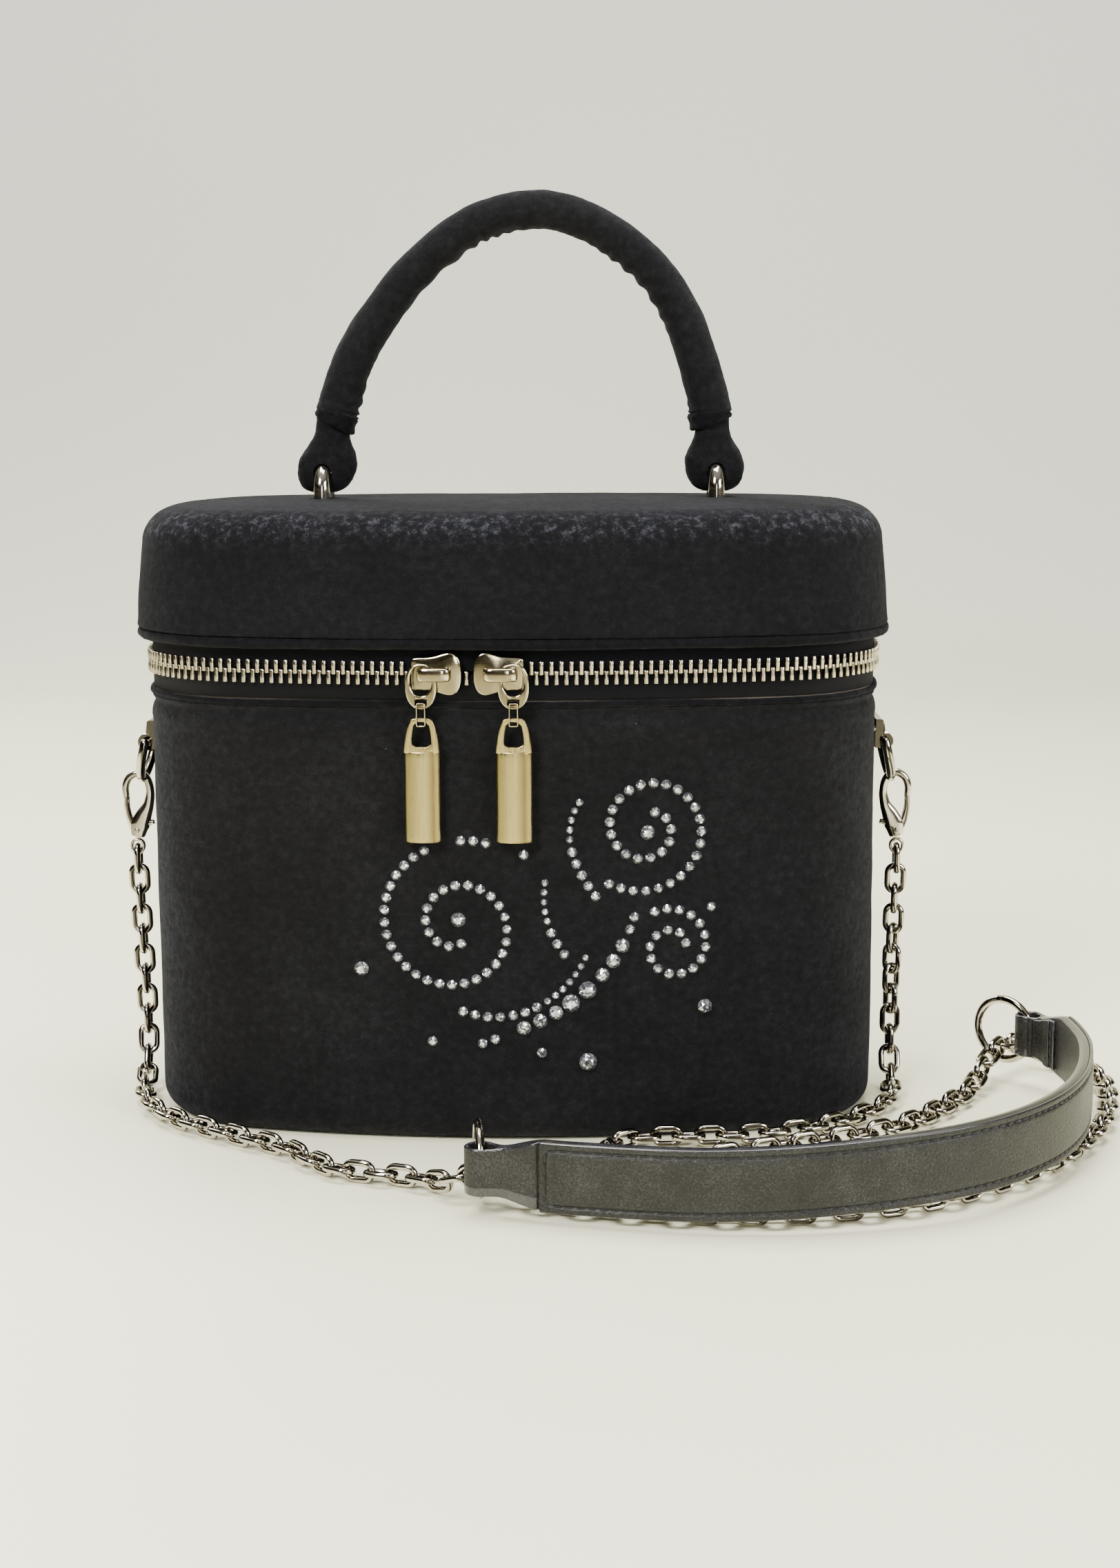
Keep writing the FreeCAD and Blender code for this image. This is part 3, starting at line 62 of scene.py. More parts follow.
# Plan outline of the bag, drawn with tangent arcs
HALF_WIDTH, HALF_DEPTH = 99.0, 55.0
FRONT_R, CORNER_R, SIDE_R = 300.0, 36.0, 110.0
FRONT_CY = FRONT_R - HALF_DEPTH      # centre of the front arc

ZIP_Z = 124.0                        # middle of the zip
TAPE_GAP = 45.6                      # half length of the back opening between the tape ends

# Staples that hold the handle: side, x of the staple, x of the tab's upper end
STAPLES = (("left", -51.8, -48.6), ("right", 55.2, 54.0))
STAPLE_R, STAPLE_Z = 6.0, 168.0      # arch radius and the height of its centre
STAPLE_WIRE, EYELET_R = 2.2, 2.46    # wire radius and the tunnel round it

# Centre line of the shoulder pad's lower edge (x, y, z), from its left ring to its right one
PAD_PATH = [
    (-4.8, -110.7, 3.0), (6.0, -114.2, 3.0), (19.4, -117.8, 3.0), (49.3, -123.0, 3.4),
    (78.9, -121.8, 4.6), (109.8, -112.0, 5.9), (131.2, -94.0, 6.2), (144.8, -70.9, 6.32),
    (152.3, -41.5, 6.2), (152.6, -18.5, 6.2), (149.2, -8.0, 6.2), (144.4, -1.5, 6.2)]
PAD_END_HALF, PAD_HALF = 6.0, 8.75   # half height at the ends and along the middle


# ------------------------------------------------------------------ shader helpers
def shade(color, factor):
    return tuple(c * factor for c in color)


class Graph:
    """A node tree that is emptied and filled again."""

    def __init__(self, tree):
        self.tree = tree
        tree.nodes.clear()

    def add(self, kind, inputs=None, **settings):
        node = self.tree.nodes.new("ShaderNode" + kind)
        for key, value in settings.items():
            setattr(node, key, value)
        self.feed(node, inputs or {})
        return node

    def feed(self, node, inputs):
        """Link sockets and set plain values."""
        for key, value in inputs.items():
            if isinstance(value, bpy.types.NodeSocket):
                self.tree.links.new(value, node.inputs[key])
            else:
                node.inputs[key].default_value = value

    def coord(self, stretch=(1, 1, 1)):
        source = self.add("TexCoord").outputs["Object"]
        return self.add("Mapping", {"Scale": stretch, "Vector": source}).outputs[0]

    def noise(self, coord, scale, detail=4.0, rough=0.55, distortion=0.0):
        return self.add("TexNoise", {"Scale": scale, "Detail": detail, "Roughness": rough,
                                     "Distortion": distortion, "Vector": coord}).outputs["Fac"]

    def math(self, operation, first, second):
        return self.add("Math", {0: first, 1: second}, operation=operation).outputs[0]

    def weighted(self, *terms):
        """Sum of (value, weight) terms."""
        scaled = self.math("MULTIPLY", *terms[0])
        if len(terms) == 1:
            return scaled
        return self.math("ADD", scaled, self.weighted(*terms[1:]))

    def remap(self, value, source=(0.0, 1.0), target=(0.0, 1.0), **settings):
        return self.add("MapRange", {"From Min": source[0], "From Max": source[1],
                                     "To Min": target[0], "To Max": target[1],
                                     "Value": value}, **settings).outputs[0]

    def ramp(self, factor, stops):
        """stops: (position, (r, g, b))"""
        node = self.add("ValToRGB", {0: factor})
        elements = node.color_ramp.elements
        while len(elements) < len(stops):
            elements.new(0.5)
        for element, (position, color) in zip(elements, stops):
            element.position = position
            element.color = (*color, 1)
        return node.outputs[0]

    def mix_color(self, factor, first, second, **settings):
        # sockets 0, 6 and 7 are the factor and the two colours
        return self.add("Mix", {0: factor, 6: first, 7: second},
                        data_type="RGBA", **settings).outputs[2]

    def bump(self, height, strength, distance):
        return self.add("Bump", {"Strength": strength, "Distance": distance,
                                 "Height": height}).outputs[0]


class Material(Graph):
    def __init__(self, name):
        self.mat = bpy.data.materials.new(name)
        self.mat.use_nodes = True
        super().__init__(self.mat.node_tree)
        self.output = self.add("OutputMaterial")
        self.bsdf = self.add("BsdfPrincipled")
        self.feed(self.output, {0: self.bsdf.outputs[0]})

    def surface(self, inputs):
        self.feed(self.bsdf, inputs)
        return self.mat


# ------------------------------------------------------------------ materials
def velvet(name, base, lift, crush_and_sheen_band=None):
    """Cotton velvet: near-black pile with pushed patches, bright flattened tufts and lint.

    lift scales the sheen. The optional band holds four heights in mm: tufts brighten between the
    first two and fade again between the last two. This band is partly flattened pile and partly a
    painted highlight standing in for the sheen along the lid's top edge.
    """
    mat = Material(name)
    coord = mat.coord()
    nap = mat.noise(coord, scale=38.0, detail=3.0, rough=0.5, distortion=0.2)
    rows = mat.noise(mat.coord(stretch=(0.25, 0.25, 1.0)), scale=620.0, rough=0.6)
    tufts = mat.noise(coord, scale=520.0, rough=0.65)
    pile = mat.noise(coord, scale=3400.0, detail=3.0, rough=0.75)
    mix = mat.weighted((nap, 0.15), (tufts, 0.34), (rows, 0.10), (pile, 0.41))
    # Painted highlight: tufts in a height band round the lid's top edge are lightened, partly
    # flattened pile and partly sheen painted into the colour.
    if crush_and_sheen_band:
        rise, full, fade, end = (z * MM for z in crush_and_sheen_band)
        height = mat.add("SeparateXYZ", {0: coord}).outputs["Z"]
        smooth = {"interpolation_type": "SMOOTHSTEP"}
        enter = mat.remap(height, source=(rise, full), **smooth)
        leave = mat.remap(height, source=(fade, end), target=(1.0, 0.0), **smooth)
        band = mat.math("MULTIPLY", enter, leave)
        crush_and_sheen = mat.remap(mat.weighted((tufts, 0.6), (pile, 0.4)), source=(0.49, 0.62))
        mix = mat.math("ADD", mix,
                       mat.math("MULTIPLY", band, mat.math("MULTIPLY", crush_and_sheen, 0.30)))
    color = mat.ramp(mix, [(0.40, shade(base, 0.6)), (0.52, base),
                           (0.64, shade(base, 2.0)), (0.82, shade(base, 6.0))])
    cells = mat.add("TexVoronoi", {"Scale": 110.0, "Vector": coord}).outputs["Distance"]
    lint = mat.math("MULTIPLY", mat.math("LESS_THAN", cells, 0.022),
                    mat.math("GREATER_THAN", nap, 0.54))
    relief = mat.weighted((pile, 0.6), (tufts, 0.7))
    return mat.surface({
        "Base Color": mat.mix_color(lint, color, (0.05, 0.05, 0.06, 1)),
        "Roughness": 0.96,
        "Specular IOR Level": 0.06,
        "Sheen Weight": mat.remap(mix, source=(0.40, 0.72), target=(0.10 * lift, 0.62 * lift)),
        "Sheen Roughness": 0.36,
        "Sheen Tint": (0.205, 0.212, 0.248, 1),
        "Normal": mat.bump(relief, strength=0.8, distance=0.0005)})


def metal(name, color, rough, brushed=None, relief=0.15, bands=None, stops=None):
    """Polished or brushed metal with painted reflections: its tone follows the way its surface
    faces.

    brushed stretches the texture. bands = (swing per axis, darkest, brightest) paints reflections
    as tone in waves over the normal; stops = (position, tone, green, blue) is a ramp over the
    normal's X that paints shading and a highlight across a rounded face.
    """
    mat = Material(name)
    coord = mat.coord(stretch=brushed or (1, 1, 1))
    cloud = mat.noise(coord, scale=300.0, detail=5.0, rough=0.6)
    grain = mat.noise(coord, scale=1400.0 if brushed else 2600.0, rough=0.7)
    tint = mat.ramp(cloud, [(0.35, shade(color, 0.84)), (0.6, color)])
    if bands or stops:
        facing = mat.add("SeparateXYZ", {0: mat.add("NewGeometry").outputs["Normal"]}).outputs
    # Painted shading and highlight: a ramp over the normal's X darkens and lightens the colour
    # across the face.
    if stops:
        across = mat.math("MULTIPLY", facing["X"], 0.5)
        shift = mat.math("ADD", mat.math("MULTIPLY", cloud, 0.06), 0.47)
        tone = mat.ramp(mat.math("ADD", across, shift),
                        [(place, (value, value * green, value * blue))
                         for place, value, green, blue in stops])
    # Painted reflections: waves of tone over the normal darken and lighten the colour.
    if bands:
        swing, low, high = bands
        mid = (low + high) / 2
        phase = mat.weighted(*zip((facing["X"], facing["Y"], facing["Z"]), swing))
        drift = mat.noise(coord, scale=90.0, detail=2.0, rough=0.5)
        phase = mat.math("ADD", phase, mat.math("MULTIPLY", drift, 2.4))
        wave = mat.math("ADD", mat.math("SINE", phase, 0.0), 1.0)
        tone = mat.ramp(mat.math("MULTIPLY", wave, 0.5),
                        [(0.12, (low, low * 0.95, low * 0.86)),
                         (0.50, (mid, mid * 0.98, mid * 0.94)),
                         (0.68, (high, high, high))])
    if bands or stops:
        tint = mat.mix_color(1.0, tint, tone, blend_type="MULTIPLY")
    return mat.surface({
        "Base Color": tint,
        "Metallic": 1.0,
        "Roughness": mat.remap(cloud, source=(0.3, 0.7), target=(rough * 0.7, rough * 1.5)),
        "Normal": mat.bump(grain, strength=relief, distance=0.00005)})


def fabric(name, color, scale, sheen, rough, specular):
    """Woven cloth with crossed threads."""
    mat = Material(name)
    coord = mat.coord()
    warp, weft = [
        mat.add("TexWave", {"Scale": scale, "Distortion": 0.6, "Vector": coord},
                bands_direction=axis).outputs["Fac"] for axis in "XZ"]
    weave = mat.math("MULTIPLY", warp, weft)
    cloud = mat.noise(coord, scale=120.0)
    return mat.surface({
        "Base Color": mat.ramp(mat.weighted((weave, 0.35), (cloud, 0.65)),
                               [(0.25, shade(color, 0.6)), (0.7, color)]),
        "Roughness": rough,
        "Specular IOR Level": specular,
        "Sheen Weight": sheen,
        "Normal": mat.bump(weave, strength=0.5, distance=0.0002)})


def leather(name, color, rough, grain, relief, specular, coat):
    """Grained leather, or its painted edge."""
    mat = Material(name)
    coord = mat.coord()
    cells = mat.add("TexVoronoi", {"Scale": grain, "Vector": coord},
                    feature="DISTANCE_TO_EDGE").outputs["Distance"]
    cloud = mat.noise(coord, scale=90.0)
    pores = mat.noise(coord, scale=2500.0)
    # Fine bright speckle in the colour: partly grain tone, partly a painted sparkle off the grain.
    fine_speckle = mat.noise(coord, scale=2100.0, detail=3.0, rough=0.8)
    return mat.surface({
        "Base Color": mat.ramp(mat.weighted((cloud, 0.28), (fine_speckle, 0.72)),
                               [(0.40, shade(color, 0.25)), (0.52, shade(color, 1.2)),
                                (0.64, shade(color, 5.0))]),
        "Roughness": mat.remap(cloud, target=(rough * 0.8, rough * 1.3)),
        "Specular IOR Level": specular,
        "Coat Weight": coat,
        "Coat Roughness": 0.2,
        "Normal": mat.bump(mat.weighted((cells, 1.0), (pores, 0.35)),
                           strength=relief, distance=0.00025)})


def crystal(name):
    mat = Material(name)
    cells = mat.add("TexVoronoi", {"Scale": 900.0, "Vector": mat.coord()}).outputs["Distance"]
    # Painted glints: the colour is near white at each small cell's centre and dark at its edge,
    # standing in for flashes off the facets.
    return mat.surface({
        "Base Color": mat.ramp(cells, [(0.0, (0.95, 0.95, 0.96)), (0.35, (0.62, 0.64, 0.68)),
                                       (0.7, (0.22, 0.23, 0.27))]),
        "Metallic": 0.86,
        "Roughness": 0.04,
        "Coat Weight": 1.0,
        "Coat Roughness": 0.02,
        "Normal": mat.bump(cells, strength=0.25, distance=0.0002)})


VELVET = velvet("velvet_nap", base=(0.0080, 0.0081, 0.0094), lift=1.1)
VELVET_TRIM = velvet("velvet_trim", base=(0.0052, 0.0053, 0.0068), lift=0.85)
# The lid's copy of the velvet has a darker base and less sheen as painted shade against the top
# light's catch on the crown, and a painted highlight band round its top edge.
VELVET_LID_SHADE_AND_HIGHLIGHT = velvet("velvet_lid_painted_light", base=(0.0066, 0.0068, 0.0086), lift=0.55,
                    crush_and_sheen_band=(154.0, 161.5, 162.5, 165.0))
# The bands and stops of these metals paint reflections, shading and highlights into their colours.
GOLD = metal("pale_gold", color=(0.80, 0.71, 0.48), rough=0.11, relief=0.05,
             bands=((4.5, 2.0, 3.6), 0.30, 1.0))
TEETH = metal("zip_teeth", color=(0.78, 0.71, 0.55), rough=0.22, relief=0.25,
              bands=((2.2, 1.5, 2.5), 0.42, 1.0))
SATIN = metal("satin_gold", color=(0.46, 0.37, 0.16), rough=0.27, brushed=(6, 6, 0.4),
              relief=0.45, stops=[
                  (0.0, 0.42, 1.0, 0.85), (0.20, 0.66, 1.02, 0.92), (0.34, 0.74, 1.01, 0.95),
                  (0.45, 1.0, 1.0, 1.0), (0.52, 1.0, 1.0, 1.0), (0.66, 0.52, 0.93, 0.82),
                  (0.80, 0.86, 1.0, 1.0), (0.93, 1.0, 1.03, 1.05), (1.0, 0.6, 1.0, 1.0)])
NICKEL = metal("nickel", color=(0.67, 0.62, 0.535), rough=0.08, relief=0.04,
               bands=((4.6, 3.1, 4.2), 0.10, 1.0))
NICKEL_WIRE = metal("nickel_wire", color=(0.70, 0.66, 0.58), rough=0.10, relief=0.04,
                    bands=((2.0, 1.4, 1.2), 0.34, 1.0))
STEEL = metal("zinc_steel", color=(0.55, 0.55, 0.57), rough=0.30)
LEATHER = leather("leather", color=(0.0088, 0.0088, 0.0082), rough=0.44, grain=900.0,
                  relief=0.95, specular=0.34, coat=0.04)
EDGE = leather("edge_paint", color=(0.009, 0.009, 0.012), rough=0.20, grain=300.0,
               relief=0.06, specular=0.6, coat=0.35)
TAPE = fabric("zip_tape", color=(0.0045, 0.0045, 0.0075), scale=2400.0, sheen=0.06,
              rough=0.9, specular=0.05)
LINING = fabric("satin_lining", color=(0.035, 0.035, 0.05), scale=1800.0, sheen=0.25,
                rough=0.38, specular=0.5)
BOARD = fabric("pressed_board", color=(0.42, 0.36, 0.28), scale=500.0, sheen=0.0,
               rough=0.9, specular=0.1)
FOAM = fabric("padding", color=(0.72, 0.70, 0.62), scale=700.0, sheen=0.2,
              rough=0.95, specular=0.05)
THREAD = fabric("thread", color=(0.006, 0.006, 0.007), scale=5000.0, sheen=0.2,
                rough=0.6, specular=0.3)
CRYSTAL = crystal("crystal")

BY_SLOT = {"velvet": VELVET, "board": BOARD, "foam": FOAM, "lining": LINING, "zip_tape": TAPE,
           "pale_gold": GOLD, "satin_gold": SATIN, "nickel": NICKEL, "steel": STEEL,
           "leather": LEATHER, "crystal": CRYSTAL}
SLOT_OF = {part["node"]: part["material_slot"] for part in frame["record"]["subparts"]}
for name, obj in NODES.items():
    obj.data.materials.clear()
    obj.data.materials.append(BY_SLOT[SLOT_OF[name]])


# ------------------------------------------------------------------ mesh helpers
def smooth_shade(mesh):
    mesh.polygons.foreach_set("use_smooth", [True] * len(mesh.polygons))


def mesh_object(name, verts, faces, mat, smooth=True):
    mesh = bpy.data.meshes.new(name)
    mesh.from_pydata([(x * MM, y * MM, z * MM) for x, y, z in verts], [], faces)
    mesh.validate(clean_customdata=False)
    mesh.update()
    obj = bpy.data.objects.new(name, mesh)
    bpy.context.scene.collection.objects.link(obj)
    mesh.materials.append(mat)
    if smooth:
        smooth_shade(mesh)
    return obj


def fix_normals(obj):
    work = bmesh.new()
    work.from_mesh(obj.data)
    bmesh.ops.recalc_face_normals(work, faces=work.faces)
    work.to_mesh(obj.data)
    work.free()


def attach(obj, body, slot, *nodes):
    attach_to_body(obj, body)
    if nodes:
        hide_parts(*nodes)


def finish(obj, body, slot, *nodes):
    fix_normals(obj)
    attach(obj, body, slot, *nodes)


def grid_faces(rows, cols, close_rows, close_cols):
    faces = []
    for i in range(rows if close_rows else rows - 1):
        this, after = i * cols, (i + 1) % rows * cols
        for j in range(cols if close_cols else cols - 1):
            side = (j + 1) % cols
            faces.append((this + j, this + side, after + side, after + j))
    return faces


class Solid:
    """Collects closed parts that become one mesh."""

    def __init__(self):
        self.verts = []
        self.faces = []

    def add(self, verts, faces):
        start = len(self.verts)
        self.verts += verts
        self.faces += [tuple(start + i for i in face) for face in faces]

    def loft(self, rows, loop=False):
        """Skin closed rows of points; the ends are capped, or joined when loop is set."""
        cols = len(rows[0])
        faces = grid_faces(len(rows), cols, loop, True)
        if not loop:
            faces.append(tuple(range(cols)))
            faces.append(tuple(reversed(range((len(rows) - 1) * cols, len(rows) * cols))))
        self.add([point for row in rows for point in row], faces)
        return self

    def make(self, name, mat, smooth=True):
        return mesh_object(name, self.verts, self.faces, mat, smooth)


def ribbon(name, rows, mat):
    """Closed band of open rows, capped at both ends."""
    cols = len(rows[0])
    starts = [i * cols for i in range(len(rows))]
    faces = grid_faces(len(rows), cols, True, False)
    faces.append(tuple(starts))
    faces.append(tuple(reversed([start + cols - 1 for start in starts])))
    return mesh_object(name, [point for row in rows for point in row], faces, mat)


def cut_away(obj, cutter, mat):
    """Subtract the cutter from the object for good."""
    cut = obj.modifiers.new("cut", "BOOLEAN")
    cut.operation = "DIFFERENCE"
    cut.object = cutter
    cut.solver = "EXACT"
    bpy.context.view_layer.update()
    depsgraph = bpy.context.evaluated_depsgraph_get()
    mesh = bpy.data.meshes.new_from_object(obj.evaluated_get(depsgraph))
    obj.modifiers.clear()
    obj.data = mesh
    bpy.data.objects.remove(cutter)
    mesh.materials.clear()
    mesh.materials.append(mat)
    smooth_shade(mesh)


def turn(count, shift=0.0):
    """(cosine, sine) at even steps round a circle."""
    angles = [2 * math.pi * (k + shift) / count for k in range(count)]
    return [(math.cos(angle), math.sin(angle)) for angle in angles]


def signed_power(value, power):
    """Squares up a cosine or sine when power is below 1."""
    return abs(value) ** power * (1 if value > 0 else -1)


def clamp(value):
    return max(0.0, min(1.0, value))


def smooth_step(value):
    value = clamp(value)
    return value * value * (3 - 2 * value)


def noise_at(x, y, z, freq=1.0):
    return noise.noise(Vector((x * freq, y * freq, z * freq)))


def run_lengths(points):
    """Distance along a polyline at each of its points."""
    return np.r_[0, np.cumsum(np.linalg.norm(np.diff(points, axis=0), axis=1))]


def spline(points, steps):
    """Catmull-Rom curve through the points."""
    knots = [np.array(point, float) for point in points]
    knots = [2 * knots[0] - knots[1]] + knots + [2 * knots[-1] - knots[-2]]
    curve = []
    for before, start, end, after in zip(knots, knots[1:], knots[2:], knots[3:]):
        for k in range(steps):
            t = k / steps
            curve.append(0.5 * (2 * start + (end - before) * t
                                + (2 * before - 5 * start + 4 * end - after) * t * t
                                + (3 * start - before - 3 * end + after) * t ** 3))
    curve.append(knots[-2])
    return curve


def tube(name, points, radius, mat, sides, up=(0, 1, 0)):
    """Capped tube; radius is a function of the fraction along it and the angle round it."""
    count = len(points)
    rows = []
    side = np.array(up, float)
    for i in range(count):
        ahead = points[min(i + 1, count - 1)] - points[max(i - 1, 0)]
        ahead = ahead / np.linalg.norm(ahead)
        side = side - ahead * (side @ ahead)
        side = side / np.linalg.norm(side)
        across = np.cross(ahead, side)
        row = []
        for j in range(sides):
            angle = 2 * math.pi * j / sides
            spoke = side * math.cos(angle) + across * math.sin(angle)
            row.append(points[i] + spoke * radius(i / (count - 1), angle))
        rows.append(row)
    return Solid().loft(rows).make(name, mat)


# ------------------------------------------------------------------ plan outline
def tangent_angles():
    """Half angles of the front and side arcs where the corner arc touches both."""
    front, side = 0.2374, 0.1573
    long, short = FRONT_R - CORNER_R, SIDE_R - CORNER_R
    for _ in range(40):  # Newton's method
        miss_x = long * math.sin(front) - (HALF_WIDTH - SIDE_R) - short * math.cos(side)
        miss_y = FRONT_CY - long * math.cos(front) + short * math.sin(side)
        x_front, x_side = long * math.cos(front), short * math.sin(side)
        y_front, y_side = long * math.sin(front), short * math.cos(side)
        det = x_front * y_side - x_side * y_front
        front -= (miss_x * y_side - miss_y * x_side) / det
        side -= (x_front * miss_y - y_front * miss_x) / det
    return front, side


def outline_arcs():
    """(centre, radius, start angle, end angle), anticlockwise from the front centre."""
    front, side = tangent_angles()
    pi, quarter = math.pi, math.pi / 2
    x = (FRONT_R - CORNER_R) * math.sin(front)
    y = FRONT_CY - (FRONT_R - CORNER_R) * math.cos(front)
    return [
        ((0, FRONT_CY), FRONT_R, -quarter, -quarter + front),
        ((x, y), CORNER_R, -quarter + front, -side),
        ((HALF_WIDTH - SIDE_R, 0), SIDE_R, -side, side),
        ((x, -y), CORNER_R, side, quarter - front),
        ((0, -FRONT_CY), FRONT_R, quarter - front, quarter + front),
        ((-x, -y), CORNER_R, quarter + front, pi - side),
        ((SIDE_R - HALF_WIDTH, 0), SIDE_R, pi - side, pi + side),
        ((-x, y), CORNER_R, pi + side, pi + quarter - front),
        ((0, FRONT_CY), FRONT_R, -quarter - front, -quarter)]


ARCS = outline_arcs()
ARC_LENGTHS = [radius * (end - start) for _, radius, start, end in ARCS]
PERIMETER = sum(ARC_LENGTHS)


def outline_at(fraction):
    """Point and outward direction (x, y, out_x, out_y) at a fraction of the way round."""
    left = (fraction % 1.0) * PERIMETER
    for (centre, radius, start, _), length in zip(ARCS, ARC_LENGTHS):
        if left <= length + 1e-9:
            angle = start + left / radius
            out_x, out_y = math.cos(angle), math.sin(angle)
            return centre[0] + radius * out_x, centre[1] + radius * out_y, out_x, out_y
        left -= length
    return outline_at(0.0)


def outline(count):
    return [outline_at(k / count) for k in range(count)]


def outline_part(count, start, end):
    return [outline_at(start + (end - start) * k / (count - 1)) for k in range(count)]


def row_at(ring, z, out, ripple=None, scale=1.0):
    """The ring at height z, moved outwards and then scaled; ripple(x, y) adds to out."""
    points = []
    for x, y, out_x, out_y in ring:
        move = out + (ripple(x, y) if ripple else 0.0)
        points.append(((x + out_x * move) * scale, (y + out_y * move) * scale, z))
    return points


def shell(name, profile, count, mat, ripple):
    """Wall that follows the outline; profile is a closed list of (z, out)."""
    ring = outline(count)
    rows = [row_at(ring, z, out, lambda x, y: ripple(x, y, z, out)) for z, out in profile]
    return Solid().loft(rows, loop=True).make(name, mat)


def fan(start, count, centre):
    return [(start + j, start + (j + 1) % count, centre) for j in range(count)]


def cap_plate(name, bottom, top, out, mat, dish, rings=14, count=240):
    """Thin panel inside the outline; dish(x, y, scale) raises both of its faces."""
    ring = outline(count)
    verts = []
    for level in (bottom, top):
        for i in range(rings):
            scale = 1.0 - i / rings
            verts += [(x, y, z + dish(x, y, scale))
                      for x, y, z in row_at(ring, level, out, scale=scale)]
    upper = rings * count
    faces = []
    for start, level in ((0, bottom), (upper, top)):
        faces += [tuple(start + i for i in face)
                  for face in grid_faces(rings, count, False, True)]
        faces += fan(start + (rings - 1) * count, count, len(verts))
        verts.append((0, 0, level + dish(0, 0, 0)))
    for j in range(count):
        side = (j + 1) % count
        faces.append((j, side, upper + side, upper + j))
    return mesh_object(name, verts, faces, mat)


def thick_cap(name, outer, outer_top, inner, inner_top, mat):
    """Hollow cap from outer and inner rows, each closed at a height on the axis."""
    count = len(outer[0])
    verts = [point for row in outer for point in row] + [(0, 0, outer_top)]
    start = len(verts)
    verts += [point for row in inner for point in row] + [(0, 0, inner_top)]
    faces = grid_faces(len(outer), count, False, True)
    faces += fan((len(outer) - 1) * count, count, start - 1)
    faces += [tuple(start + i for i in reversed(face))
              for face in grid_faces(len(inner), count, False, True)]
    faces += [(second, first, centre) for first, second, centre
              in fan(start + (len(inner) - 1) * count, count, len(verts) - 1)]
    for j in range(count):
        side = (j + 1) % count
        faces.append((j, start + j, start + side, side))
    return mesh_object(name, verts, faces, mat)


# ------------------------------------------------------------------ body cover, base, welts
def body_ripple(x, y, z, out):
    if out < -1.0:
        return 0.0
    fade = clamp((z - 6) / 12) * clamp((111.0 - z) / 8)
    slack = 0.42 * noise_at(x, y, z, 0.022) + 0.16 * noise_at(x + 50, y, z, 0.09)
    return fade * slack + 0.05 * noise_at(x, y, z, 0.45)


def body_profile():
    """(z, out) from the turned-under margin up the outside and down the inside."""
    profile = [(0.12 + 0.02 * k, -12.0 + k * 1.4) for k in range(5)]
    for k in range(11):  # rounded lower edge
        angle = math.pi / 2 * k / 10
        profile.append((6.0 - 5.85 * math.cos(angle), -6.0 + 6.0 * math.sin(angle) - 0.12))
    for z in np.linspace(9, 108, 46):
        profile.append((float(z), -0.10 + 0.28 * math.sin(math.pi * (z - 6) / 104)))
    profile += [  # stitched waist under the welt
        (109.2, 0.12), (110.6, 0.02), (111.7, -0.28), (112.5, -0.72), (113.1, -0.92),
        (113.6, -0.78), (114.1, -0.40), (114.6, -0.15), (114.95, -0.25), (115.0, -0.7),
        (114.9, -1.1)]
    profile += [(float(z), -1.21) for z in np.linspace(112, 8, 12)]
    return profile + [(4.4, -2.4), (2.2, -4.6), (1.3, -8.0), (1.3, -12.0)]


def rope(name, out, z, radius, uneven, count=640, sides=12):
    """Covered cord round the outline."""
    rows = []
    for x, y, out_x, out_y in outline(count):
        thick = radius * (1 + uneven * noise_at(x, y, z, 0.35))
        sag = 0.22 * noise_at(x, y, 7.0, 0.03)
        rows.append([(x + out_x * (out + thick * cos), y + out_y * (out + thick * cos),
                      z + sag + thick * sin) for cos, sin in turn(sides)])
    return Solid().loft(rows, loop=True).make(name, VELVET_TRIM)


finish(shell("velvet_body", body_profile(), 560, VELVET, body_ripple),
       "bag", "velvet", "body_cover")
finish(cap_plate("velvet_base", 0.02, 1.15, -12.15, VELVET,
                 lambda x, y, scale: 0.10 * (1 - scale) + 0.05 * noise_at(x, y, 0, 0.05)),
       "bag", "velvet", "base_cover")
finish(rope("welt_body", out=-0.35, z=115.9, radius=0.82, uneven=0.06),
       "bag", "velvet", "body_welt")
finish(rope("piping_lid", out=1.9, z=131.5, radius=1.45, uneven=0.10),
       "lid", "velvet", "lid_piping")


# ------------------------------------------------------------------ lid cover
def lid_profile():
    """(z, out) up the tapered wall, over the soft shoulder and in towards the crown."""
    profile = [(132.9, 2.3), (133.0, 3.0), (133.6, 3.25), (134.6, 3.1)]
    for z in np.linspace(136.0, 154.5, 14):
        rise = z - 134.6
        profile.append((float(z), 3.05 - 2.0 * rise / 22.0
                        + 0.18 * math.sin(math.pi * rise / 20.0)))
    for k in range(1, 15):  # shoulder: a quarter ellipse
        angle = math.pi / 2 * k / 14
        profile.append((155.6 + 9.3 * math.sin(angle), 1.12 - 10.5 * (1 - math.cos(angle))))
    return profile + [(165.15, -11.5), (165.4, -14.5), (165.62, -18.0), (165.8, -22.0),
                      (165.92, -27.0), (165.98, -33.0)]


def padding(x, y, z):
    return 0.34 * noise_at(x, y, z, 0.028) + 0.15 * noise_at(x, y + 40, z, 0.11)


